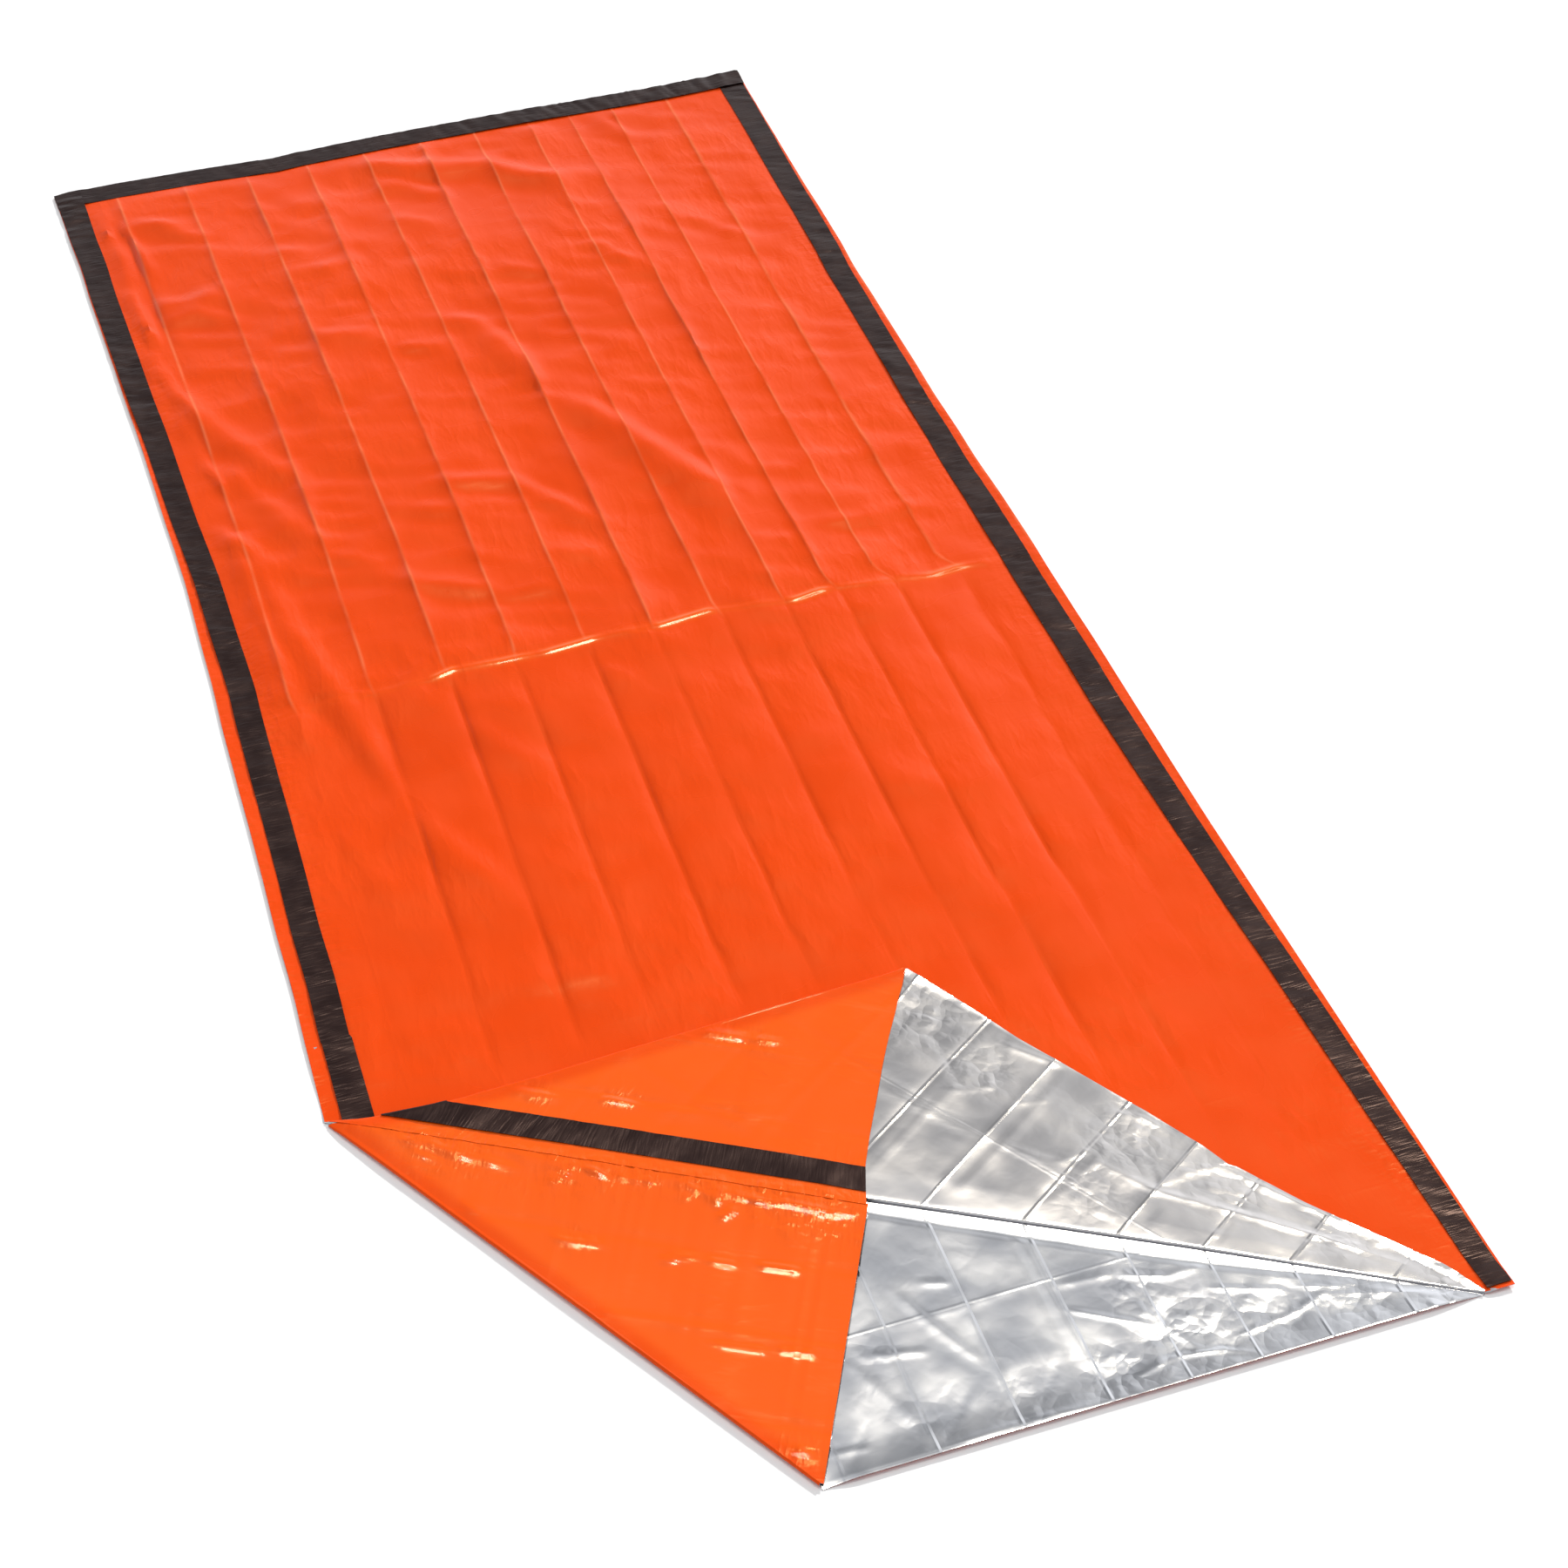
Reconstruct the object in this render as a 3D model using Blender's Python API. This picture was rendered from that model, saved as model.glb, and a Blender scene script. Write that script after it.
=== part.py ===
"""Emergency sleeping bag of foil-backed film, lying flat with its near left corner folded open.

Two sheets of film lie face to face and are sealed down both sides and across the foot. The mouth is
at low y. The lower sheet's mouth corner is folded up along one crease. The upper sheet's mouth is
turned back along a second crease, silver side up, and its corner comes forward again along a third,
so that both corners meet at the left seam with their orange side up. All three creases start from
one point on the left seam, the apex. Black tape covers the seams on the upper sheet.

Frame: +X across the bag to the right, +Y towards the foot, +Z up. The origin is under the middle.
Inside the functions, x runs from the left seam and y from the mouth edge, both in metres.
"""

import math

import bpy
import numpy as np

# Driving sizes, metres
BAG_WIDTH = 0.910
BAG_LENGTH = 2.130
FILM = 0.0010
TAPE = 0.0010
GAP = 0.0003
FLOOR_Z = FILM / 2
SEALED_Z = FLOOR_Z + FILM + GAP
TAPE_RISE = FILM / 2 + GAP + TAPE / 2
TAPE_LAP = TAPE + GAP

# Where the three creases and the seam lie once the corner is folded, in plan
APEX = np.array([0.0, 0.506])
MOUTH_FOLD = np.array([0.884, 0.0006])
LOWER_FOLD = np.array([0.295, 0.0004])
SEAM_END = np.array([0.425, 0.259])
TIP = np.array([0.552, 0.508])

# Where the folded points lie along the mouth edge of the uncut sheet, measured from the left seam
UPPER_FOLD_X = 0.300
APEX_RELIEF = 0.015

# Radii of the three bends, from the apex to the mouth edge
RADIUS_COLUMNS = ("along", "mouth", "tip", "lower")
RADII = (
    (0.00, 0.0021, 0.0008, 0.0024),
    (0.12, 0.0021, 0.0015, 0.0030),
    (0.50, 0.0023, 0.0016, 0.0036),
    (0.75, 0.0018, 0.0016, 0.0032),
    (1.00, 0.0011, 0.0016, 0.0022),
)
BEND_STEPS = 6

# How the lower sheet's corner tucks under the upper sheet's along the folded seam
SEAM_SET_BACK = 0.0026
SEAM_LAP = 0.0080
SEAM_LOW = 0.0052
SEAM_RISE_BY = 0.15

# Air inside the bag: the upper sheet's rise above its sealed height
LOFT = 0.0085
SIDE_FLAT = 0.047
SIDE_RISE = 0.220
FOOT_FLAT = 0.042
FOOT_RISE = 0.300
MOUTH_REACH = 0.420
MOUTH_LIFT = 0.0056
MOUTH_LIFT_X = 0.630
MOUTH_LIFT_SPREAD = 0.200
MOUTH_LOW = 0.0022

# Packing creases run the length of the bag; one more crosses it
CREASE_X = (0.080, 0.162, 0.241, 0.318, 0.394, 0.468, 0.543, 0.614, 0.675, 0.735, 0.810)
CREASE_DEPTH = 0.0010
CROSS_CREASE_Y = 1.070
CROSS_CREASE_DEPTH = 0.0016
CROSS_CREASE_SPREAD = 0.085
CREASES_START = 0.240

# Broad slanting waves of the upper sheet: ends, half width and rise
WAVE_COLUMNS = ("x0", "y0", "x1", "y1", "half", "rise")
WAVES = (
    (0.350, 2.080, 0.650, 1.930, 0.050, 0.0024),
    (0.390, 1.700, 0.470, 1.520, 0.045, 0.0018),
    (0.460, 1.500, 0.620, 1.210, 0.050, 0.0026),
    (0.070, 1.640, 0.170, 1.430, 0.040, 0.0020),
    (0.080, 1.350, 0.150, 0.880, 0.040, 0.0020),
)

# How far the two side edges draw in along the bag, and how the foot edge wanders
EDGE_COLUMNS = ("y", "left", "right")
EDGES = (
    (0.00, 0.000, 0.000),
    (0.50, 0.000, 0.006),
    (0.80, 0.006, 0.006),
    (1.05, 0.012, 0.005),
    (1.30, 0.017, 0.009),
    (1.55, 0.014, 0.008),
    (1.80, 0.008, 0.005),
    (2.00, 0.003, 0.003),
    (2.13, 0.000, 0.000),
)
FOOT_COLUMNS = ("x", "short")
FOOT = (
    (0.00, 0.003),
    (0.08, 0.000),
    (0.28, 0.006),
    (0.42, 0.001),
    (0.62, 0.001),
    (0.80, 0.004),
    (0.91, 0.000),
)

# Each side tape's outer edge and inner edge, measured from its own side of the sheet
TAPE_COLUMNS = ("y", "left_outer", "left_inner", "right_outer", "right_inner")
TAPES = (
    (0.00, 0.0160, 0.0440, 0.0010, 0.0235),
    (0.20, 0.0155, 0.0430, 0.0025, 0.0270),
    (0.45, 0.0150, 0.0420, 0.0080, 0.0340),
    (0.80, 0.0155, 0.0430, 0.0120, 0.0430),
    (1.10, 0.0160, 0.0440, 0.0120, 0.0430),
    (1.40, 0.0080, 0.0360, 0.0100, 0.0380),
    (1.70, 0.0035, 0.0330, 0.0060, 0.0360),
    (2.00, 0.0020, 0.0330, 0.0020, 0.0330),
    (2.13, 0.0015, 0.0340, 0.0015, 0.0340),
)
TAPE_MOUTH_END = 0.004
TAPE_FOOT_END = 0.006
FOOT_TAPE_WIDTH = 0.034
FOOT_TAPE_SIDE = 0.001
FOOT_TAPE_RAMP = 0.012

# Mesh rows and columns
NEAR_ROWS = 4
BODY_ROWS_FROM = 0.600
LOWER_BODY_ROWS = (0.600, 0.800, 1.050, 1.300, 1.550, 1.800, 2.000, 2.130)
BODY_ROWS = (0.600, 0.690, 0.780, 0.870, 0.970, 1.070, 1.170, 1.260, 1.350, 1.440, 1.530, 1.620,
             1.710, 1.800, 1.900, 2.000, 2.050, 2.088, 2.110, 2.130)
FLIP_STEPS = 7
FLAP_ROW_RATIO = 0.84
TAPE_STRIPS = 4
LOWER_FLAP_STEPS = 5
LOWER_FLAT_STEPS = 5

# Finishes: linear red, green, blue, then roughness and metallic
ORANGE_SIDE = (0.860, 0.085, 0.010, 0.35, 0.0)
SILVER_SIDE = (0.560, 0.560, 0.590, 0.25, 0.9)
BLACK_TAPE = (0.022, 0.018, 0.019, 0.50, 0.0)


def column(table, names, name):
    """One named column of a short table, as an array."""
    return np.array([row[names.index(name)] for row in table], dtype=float)


def reading(table, names, name, at):
    """The named column read at any place along the table's first column."""
    return np.interp(at, column(table, names, names[0]), column(table, names, name))


def smooth(value):
    """Rises from 0 to 1 with level ends as value goes from 0 to 1."""
    t = np.clip(value, 0.0, 1.0)
    return t * t * (3.0 - 2.0 * t)


def outline(x, y):
    """Plan place of a point of the sheet: the sides draw in and the foot edge wanders a little."""
    across = x / BAG_WIDTH
    left = reading(EDGES, EDGE_COLUMNS, "left", y)
    right = reading(EDGES, EDGE_COLUMNS, "right", y)
    short = reading(FOOT, FOOT_COLUMNS, "short", x) * smooth((y - BAG_LENGTH / 2) / (BAG_LENGTH / 2))
    return x + left * (1.0 - across) - right * across, y - short


def crease_y(x):
    """Height up the bag of the mouth crease, which runs from the apex to the mouth edge."""
    return APEX[1] * np.clip(1.0 - x / MOUTH_FOLD[0], 0.0, 1.0)


def loft(x, y):
    """Rise of the upper sheet: none along the sealed edges, most in the middle, some at the mouth."""
    side = smooth((x - SIDE_FLAT) / SIDE_RISE) * smooth((BAG_WIDTH - SIDE_FLAT - x) / SIDE_RISE)
    foot = smooth((BAG_LENGTH - FOOT_FLAT - y) / FOOT_RISE)
    inward = smooth((y - crease_y(x)) / MOUTH_REACH)
    lip = MOUTH_LOW + (MOUTH_LIFT - MOUTH_LOW) * np.exp(-(((x - MOUTH_LIFT_X) / MOUTH_LIFT_SPREAD) ** 4))
    return side * foot * (lip + (LOFT - lip) * inward)


def creases(x, y):
    """Packing creases: ridges and furrows in turn down the bag, and one ridge across it."""
    xs = np.array((SIDE_FLAT,) + CREASE_X + (BAG_WIDTH - SIDE_FLAT,))
    turn = np.array([0.0] + [(-1.0) ** k for k in range(len(CREASE_X))] + [0.0])
    along = smooth((y - crease_y(x) - CREASES_START) / CREASES_START)
    foot = smooth((BAG_LENGTH - FOOT_FLAT - y) / FOOT_RISE)
    side = smooth((x - SIDE_FLAT) / SIDE_RISE) * smooth((BAG_WIDTH - SIDE_FLAT - x) / SIDE_RISE)
    pleats = CREASE_DEPTH * np.interp(x, xs, turn)
    across = CROSS_CREASE_DEPTH * np.clip(1.0 - np.abs(y - CROSS_CREASE_Y) / CROSS_CREASE_SPREAD, 0.0, 1.0)
    return along * foot * side * (pleats + across)


def waves(x, y):
    """Broad slanting waves, each a soft ridge between two points."""
    total = np.zeros(np.broadcast(x, y).shape)
    for wave in WAVES:
        x0, y0, x1, y1, half, rise = wave
        run = np.array([x1 - x0, y1 - y0])
        share = np.clip(((x - x0) * run[0] + (y - y0) * run[1]) / run.dot(run), 0.0, 1.0)
        away = np.hypot(x - x0 - share * run[0], y - y0 - share * run[1])
        total = total + rise * smooth(1.0 - away / half)
    side = smooth((x - SIDE_FLAT) / SIDE_RISE) * smooth((BAG_WIDTH - SIDE_FLAT - x) / SIDE_RISE)
    return total * side * smooth((BAG_LENGTH - FOOT_FLAT - y) / FOOT_RISE)


def body_height(x, y):
    """Middle height of the upper sheet where it lies over the lower one."""
    return SEALED_Z + loft(x, y) + creases(x, y) + waves(x, y)


def bend_radius(name, along):
    """Radius of a bend at a share of the way from the apex to the mouth edge."""
    return reading(RADII, RADIUS_COLUMNS, name, along)


def ray(end, along):
    """Points of the straight crease from the apex to an end, in plan."""
    return APEX + np.multiply.outer(along, end - APEX)


def outward(end, beyond):
    """Unit direction across a crease in plan, towards the side that the point beyond lies on."""
    run = (end - APEX) / np.linalg.norm(end - APEX)
    across = np.array([-run[1], run[0]])
    return across * math.copysign(1.0, across.dot(beyond - APEX))


def upright(points, side):
    """The thickness direction of a sheet that lies flat: up, or down once it is turned over."""
    normals = np.zeros(points.shape)
    normals[..., 2] = side
    return normals


def bend_row(line, across, radius, base, angle, side):
    """A row of a half-round bend whose outermost line is the crease; angle runs from 0 to pi."""
    shift = -radius * (1.0 - math.sin(angle))
    points = np.empty(line.shape[:-1] + (3,))
    points[..., :2] = line + np.multiply.outer(shift, across)
    points[..., 2] = base + radius * (1.0 - math.cos(angle))
    half_step = math.pi / BEND_STEPS / 2
    thicken = 1.0 if angle in (0.0, math.pi) else 1.0 / math.cos(half_step)
    normals = np.empty(points.shape)
    normals[..., :2] = -side * math.sin(angle) * across * thicken
    normals[..., 2] = side * math.cos(angle) * thicken
    return points, normals


def flip_height(plan):
    """Height of the turned-back layer: a bend's width above the body, from the same share of the way."""
    basis = np.column_stack((MOUTH_FOLD - APEX, TIP - APEX))
    along = np.clip((plan - APEX).dot(np.linalg.inv(basis).T).sum(axis=-1), 0.0, 1.0)
    return body_height(plan[..., 0], plan[..., 1]) + 2.0 * bend_radius("mouth", along)


def flap_height(plan, along):
    """Height of the corner that comes forward again over the turned-back layer."""
    return flip_height(plan) + 2.0 * bend_radius("tip", along)


def body_row(x, y):
    """A row of the upper sheet between the foot and the mouth crease."""
    px, py = outline(x, y)
    points = np.stack((px, py, body_height(x, y)), axis=-1)
    return points, upright(points, 1.0)


def near_row(x, share):
    """A row between the mouth crease, at share 0, and the first straight row across the bag."""
    radius = bend_radius("mouth", x / MOUTH_FOLD[0])
    start = ray(MOUTH_FOLD, np.minimum(x / MOUTH_FOLD[0], 1.0))
    inside = np.multiply.outer(radius, outward(MOUTH_FOLD, np.zeros(2)))
    beyond = (x > MOUTH_FOLD[0])[..., None]
    start = np.where(beyond, np.stack((x, np.zeros(x.shape)), axis=-1), start - inside)
    sx, sy = outline(x, np.full(x.shape, BODY_ROWS_FROM))
    plan = start * (1.0 - share) + np.stack((sx, sy), axis=-1) * share
    height = body_height(plan[..., 0], plan[..., 1])
    points = np.concatenate((plan, height[..., None]), axis=-1)
    return points, upright(points, 1.0)


def mouth_bend_row(along, angle):
    """A row of the bend along the mouth crease, from the body up to the turned-back layer."""
    across = outward(MOUTH_FOLD, np.zeros(2))
    radius = bend_radius("mouth", along)
    line = ray(MOUTH_FOLD, along)
    inner = line - np.multiply.outer(radius, across)
    return bend_row(line, across, radius, body_height(inner[:, 0], inner[:, 1]), angle, 1.0)


def flip_row(along, share):
    """A row of the turned-back layer: share 0 at the mouth crease, share 1 at the tip crease."""
    first = ray(MOUTH_FOLD, along)
    first = first - np.multiply.outer(bend_radius("mouth", along), outward(MOUTH_FOLD, np.zeros(2)))
    last = ray(TIP, along) - np.multiply.outer(bend_radius("tip", along), outward(TIP, APEX + TIP))
    plan = first * (1.0 - share) + last * share
    points = np.concatenate((plan, flip_height(plan)[..., None]), axis=-1)
    return points, upright(points, -1.0)


def tip_bend_row(along, angle):
    """A row of the bend along the tip crease, from the turned-back layer up to the flap."""
    across = outward(TIP, APEX + TIP)
    radius = bend_radius("tip", along)
    line = ray(TIP, along)
    inner = line - np.multiply.outer(radius, across)
    return bend_row(line, across, radius, flip_height(inner), angle, -1.0)


def flap_row(along, share):
    """A row of the upper sheet's flap: share 0 at the tip crease, share 1 at the folded seam."""
    first = ray(TIP, along) - np.multiply.outer(bend_radius("tip", along), outward(TIP, APEX + TIP))
    plan = first * (1.0 - share) + ray(SEAM_END, along) * share
    points = np.concatenate((plan, flap_height(plan, along)[..., None]), axis=-1)
    return points, upright(points, 1.0)


def flat_row(x, y):
    """A row of the lower sheet on the floor."""
    px, py = outline(x, y)
    points = np.stack((px, py, np.full(px.shape, FLOOR_Z)), axis=-1)
    return points, upright(points, 1.0)


def lower_near_row(x, share):
    """A row of the lower sheet on the floor, below the first straight row across the bag."""
    start = np.stack((x, crease_y(x)), axis=-1)
    sx, sy = outline(x, np.full(x.shape, BODY_ROWS_FROM))
    plan = start * (1.0 - share) + np.stack((sx, sy), axis=-1) * share
    points = np.concatenate((plan, np.full(x.shape, FLOOR_Z)[..., None]), axis=-1)
    return points, upright(points, 1.0)


def lower_mouth_row(along, share):
    """A row of the lower sheet on the floor between the mouth crease above it and its own crease."""
    across = outward(LOWER_FOLD, np.zeros(2))
    last = ray(LOWER_FOLD, along) - np.multiply.outer(bend_radius("lower", along), across)
    plan = ray(MOUTH_FOLD, along) * (1.0 - share) + last * share
    points = np.concatenate((plan, np.full(along.shape, FLOOR_Z)[..., None]), axis=-1)
    return points, upright(points, 1.0)


def lower_bend_row(along, angle):
    """A row of the bend along the lower sheet's crease."""
    across = outward(LOWER_FOLD, np.zeros(2))
    base = np.full(along.shape, FLOOR_Z)
    return bend_row(ray(LOWER_FOLD, along), across, bend_radius("lower", along), base, angle, 1.0)


def lower_flap_row(along, share):
    """A row of the lower sheet's flap: share 0 at its crease, share 1 tucked under the folded seam."""
    across = outward(LOWER_FOLD, np.zeros(2))
    radius = bend_radius("lower", along)
    first = ray(LOWER_FOLD, along) - np.multiply.outer(radius, across)
    under = -outward(SEAM_END, np.zeros(2))
    reach = SEAM_LAP * along - SEAM_SET_BACK * (1.0 - along)
    last = ray(SEAM_END, along) + np.multiply.outer(reach, under)
    plan = first * (1.0 - share) + last * share
    seam = flap_height(last, along) - FILM - GAP - GAP / 2
    seam = SEAM_LOW + (seam - SEAM_LOW) * smooth(along / SEAM_RISE_BY)
    height = (FLOOR_Z + 2.0 * radius) * (1.0 - share) + seam * share
    points = np.concatenate((plan, height[..., None]), axis=-1)
    return points, upright(points, -1.0)


def grid_faces(start, rows, columns):
    """Quads of a grid of vertices numbered row by row."""
    first = np.arange(rows - 1)[:, None] * columns + np.arange(columns - 1)[None, :] + start
    return np.stack((first, first + columns, first + columns + 1, first + 1), axis=-1).reshape(-1, 4)


def sheet_mesh(name, points, normals, quads, thickness):
    """A closed sheet: two skins half a thickness either side of the middle, and walls round the edge."""
    count = len(points)
    skins = np.concatenate((points + normals * thickness / 2, points - normals * thickness / 2))
    skins[:, 0] -= BAG_WIDTH / 2
    skins[:, 1] -= BAG_LENGTH / 2
    edges = np.concatenate([quads[:, [k, (k + 1) % 4]] for k in range(4)])
    directed = {tuple(edge) for edge in edges.tolist()}
    rim = [edge for edge in edges.tolist() if (edge[1], edge[0]) not in directed]
    faces = quads.tolist() + (quads[:, ::-1] + count).tolist()
    faces += [[b, a, a + count, b + count] for a, b in rim]
    mesh = bpy.data.meshes.new(name)
    mesh.from_pydata(skins.tolist(), [], [triangle for face in faces for triangle in split(face)])
    side = np.zeros(len(mesh.polygons), dtype=np.int32)
    side[2 * len(quads):4 * len(quads)] = 1
    mesh.polygons.foreach_set("material_index", side)
    return mesh


def split(face):
    """A quad as two triangles."""
    return [(face[0], face[1], face[2]), (face[0], face[2], face[3])]


def stack(rows):
    """Rows of points and normals as two long arrays."""
    points = np.concatenate([row[0] for row in rows])
    normals = np.concatenate([row[1] for row in rows])
    return points, normals


def join_fan(body, fan, body_columns, fan_start):
    """A body grid and the fan of rows that goes on from its last row, as points, normals and quads."""
    fan_columns = body_columns - fan_start - 1
    points, normals = stack(body + fan)
    quads = grid_faces(0, len(body), body_columns)
    last_body = (len(body) - 1) * body_columns + fan_start + np.arange(fan_columns)
    first_fan = len(body) * body_columns + np.arange(fan_columns)
    link = np.stack((last_body[:-1], first_fan[:-1], first_fan[1:], last_body[1:]), axis=-1)
    fan_quads = grid_faces(len(body) * body_columns, len(fan), fan_columns)
    return points, normals, np.concatenate((quads, link, fan_quads))


def bend_angles():
    """Angles of a bend's rows after its first."""
    return [math.pi * k / BEND_STEPS for k in range(1, BEND_STEPS + 1)]


def sheet_columns(with_middles):
    """Columns across the bag: both edges, the apex relief, the sealed strips and every crease."""
    marks = [SIDE_FLAT] + list(CREASE_X) + [BAG_WIDTH - SIDE_FLAT]
    if with_middles:
        marks += [(a + b) / 2 for a, b in zip(marks[:-1], marks[1:])]
    marks += [0.0, APEX_RELIEF * MOUTH_FOLD[0], MOUTH_FOLD[0], BAG_WIDTH]
    return np.array(sorted(marks))


def upper_panel():
    """The upper sheet, from the foot to the mouth crease, turned back, and its corner forward again."""
    x = sheet_columns(True)
    body = [body_row(x, np.full(x.shape, y)) for y in reversed(BODY_ROWS)]
    body += [near_row(x, 1.0 - k / NEAR_ROWS) for k in range(1, NEAR_ROWS + 1)]
    along = x[1:-1] / MOUTH_FOLD[0]
    fan = [mouth_bend_row(along, angle) for angle in bend_angles()]
    fan += [flip_row(along, k / FLIP_STEPS) for k in range(1, FLIP_STEPS + 1)]
    fan += [tip_bend_row(along, angle) for angle in bend_angles()]
    fan += [flap_row(along, 1.0 - edge / UPPER_FOLD_X) for edge in flap_edges()]
    points, normals, quads = join_fan(body, fan, len(x), 1)
    return sheet_mesh("upper_panel", points, normals, quads, FILM)


def lower_panel():
    """The lower sheet, flat on the floor, with its mouth corner folded up over it."""
    x = sheet_columns(False)
    body = [flat_row(x, np.full(x.shape, y)) for y in reversed(LOWER_BODY_ROWS)]
    body += [lower_near_row(x, 0.5), lower_near_row(x, 0.0)]
    along = x[1:-1] / MOUTH_FOLD[0]
    fan = [lower_mouth_row(along, k / LOWER_FLAT_STEPS) for k in range(1, LOWER_FLAT_STEPS + 1)]
    fan += [lower_bend_row(along, angle) for angle in bend_angles()]
    fan += [lower_flap_row(along, k / LOWER_FLAP_STEPS) for k in range(1, LOWER_FLAP_STEPS + 1)]
    points, normals, quads = join_fan(body, fan, len(x), 1)
    return sheet_mesh("lower_panel", points, normals, quads, FILM)


def raised(row):
    """A row of tape on the outer side of the sheet's row."""
    points, normals = row
    return points + normals * TAPE_RISE, normals


def flap_edges():
    """Where the flap's rows meet the mouth edge of the uncut sheet: closer and closer to the seam."""
    outer = float(reading(TAPES, TAPE_COLUMNS, "left_outer", 0.0))
    count = math.ceil(math.log(outer / UPPER_FOLD_X) / math.log(FLAP_ROW_RATIO))
    ratio = (outer / UPPER_FOLD_X) ** (1.0 / count)
    return [UPPER_FOLD_X * ratio ** k for k in range(1, count + 1)] + [0.0]


def side_tape_x(side, y, strips=1):
    """Places across a side tape, from its left edge to its right, measured from the left seam."""
    outer = float(reading(TAPES, TAPE_COLUMNS, side + "_outer", y))
    inner = float(reading(TAPES, TAPE_COLUMNS, side + "_inner", y))
    if side == "right":
        outer, inner = BAG_WIDTH - inner, BAG_WIDTH - outer
    return np.linspace(outer, inner, strips + 1)


def tape_body_rows(side, strips):
    """Rows of a side tape on the flat part of the bag, from the foot to the first straight row."""
    foot_end = BAG_LENGTH - TAPE_FOOT_END
    ys = [foot_end] + [y for y in reversed(BODY_ROWS) if y < foot_end]
    return [raised(body_row(side_tape_x(side, y, strips), np.full(strips + 1, y))) for y in ys]


def folded_tape_share(edge):
    """Places across the left tape on a row that meets the mouth edge here, as shares from the apex."""
    sides = side_tape_x("left", 0.0)
    first = float(sides[0]) / max(edge, float(sides[0]))
    last = min(float(sides[-1]) / max(edge, float(sides[0])), 1.0)
    return np.linspace(first, last, TAPE_STRIPS + 1)


def left_tape():
    """The left tape: down the body, round the mouth crease, round the tip crease, and along the flap."""
    rows = tape_body_rows("left", TAPE_STRIPS)
    sides = side_tape_x("left", APEX[1], TAPE_STRIPS)
    rows += [raised(near_row(sides, 1.0 - k / NEAR_ROWS)) for k in range(1, NEAR_ROWS + 1)]
    rows += [raised(mouth_bend_row(folded_tape_share(MOUTH_FOLD[0]), angle)) for angle in bend_angles()]
    for k in range(1, FLIP_STEPS + 1):
        share = k / FLIP_STEPS
        edge = MOUTH_FOLD[0] + (UPPER_FOLD_X - MOUTH_FOLD[0]) * share
        rows.append(raised(flip_row(folded_tape_share(edge), share)))
    rows += [raised(tip_bend_row(folded_tape_share(UPPER_FOLD_X), angle)) for angle in bend_angles()]
    for edge in flap_edges()[:-2]:
        rows.append(raised(flap_row(folded_tape_share(edge), 1.0 - edge / UPPER_FOLD_X)))
    points, normals = stack(rows)
    return sheet_mesh("left_tape", points, normals, grid_faces(0, len(rows), TAPE_STRIPS + 1), TAPE)


def right_tape():
    """The right tape, from under the foot tape to the mouth."""
    rows = tape_body_rows("right", 1)
    for k in range(1, NEAR_ROWS + 1):
        y = BODY_ROWS_FROM + (TAPE_MOUTH_END - BODY_ROWS_FROM) * k / NEAR_ROWS
        rows.append(raised(body_row(side_tape_x("right", y), np.full(2, y))))
    points, normals = stack(rows)
    return sheet_mesh("right_tape", points, normals, grid_faces(0, len(rows), 2), TAPE)


def foot_tape():
    """The foot tape, over both side tapes' ends: it climbs a tape's thickness at each end."""
    top = float(reading(TAPES, TAPE_COLUMNS, "left_inner", BAG_LENGTH)) + GAP
    ramp = top + FOOT_TAPE_RAMP
    level = [mark for mark in CREASE_X if ramp < mark < BAG_WIDTH - ramp]
    left = [FOOT_TAPE_SIDE, top, ramp]
    x = np.array(left + level + [BAG_WIDTH - mark for mark in reversed(left)])
    from_edge = np.minimum(x, BAG_WIDTH - x)
    climb = np.clip((ramp - from_edge) / FOOT_TAPE_RAMP, 0.0, 1.0)
    rows = []
    for y in (BAG_LENGTH, BAG_LENGTH - FOOT_TAPE_WIDTH):
        points, normals = raised(body_row(x, np.full(x.shape, y)))
        points[:, 2] += climb * TAPE_LAP
        rows.append((points, normals))
    points, normals = stack(rows)
    return sheet_mesh("foot_tape", points, normals, grid_faces(0, len(rows), len(x)), TAPE)


def finish(name, look):
    """A plain Principled material from a finish."""
    red, green, blue, roughness, metallic = look
    material = bpy.data.materials.new(name)
    material.use_nodes = True
    shader = material.node_tree.nodes["Principled BSDF"]
    shader.inputs["Base Color"].default_value = (red, green, blue, 1.0)
    shader.inputs["Roughness"].default_value = roughness
    shader.inputs["Metallic"].default_value = metallic
    return material


def place(mesh, above, below):
    """Puts a finished mesh in the scene, with a finish for its upper side and one for its under side."""
    mesh.materials.append(above)
    mesh.materials.append(below)
    item = bpy.data.objects.new(mesh.name, mesh)
    bpy.context.scene.collection.objects.link(item)


def main():
    """Builds the bag's five pieces."""
    for old in list(bpy.data.objects):
        bpy.data.objects.remove(old, do_unlink=True)
    panels = ((lower_panel(), SILVER_SIDE, ORANGE_SIDE), (upper_panel(), ORANGE_SIDE, SILVER_SIDE))
    for panel, above, below in panels:
        place(panel, finish(panel.name + " upper side", above), finish(panel.name + " under side", below))
    for tape in (left_tape(), right_tape(), foot_tape()):
        black = finish(tape.name, BLACK_TAPE)
        place(tape, black, black)


main()
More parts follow.
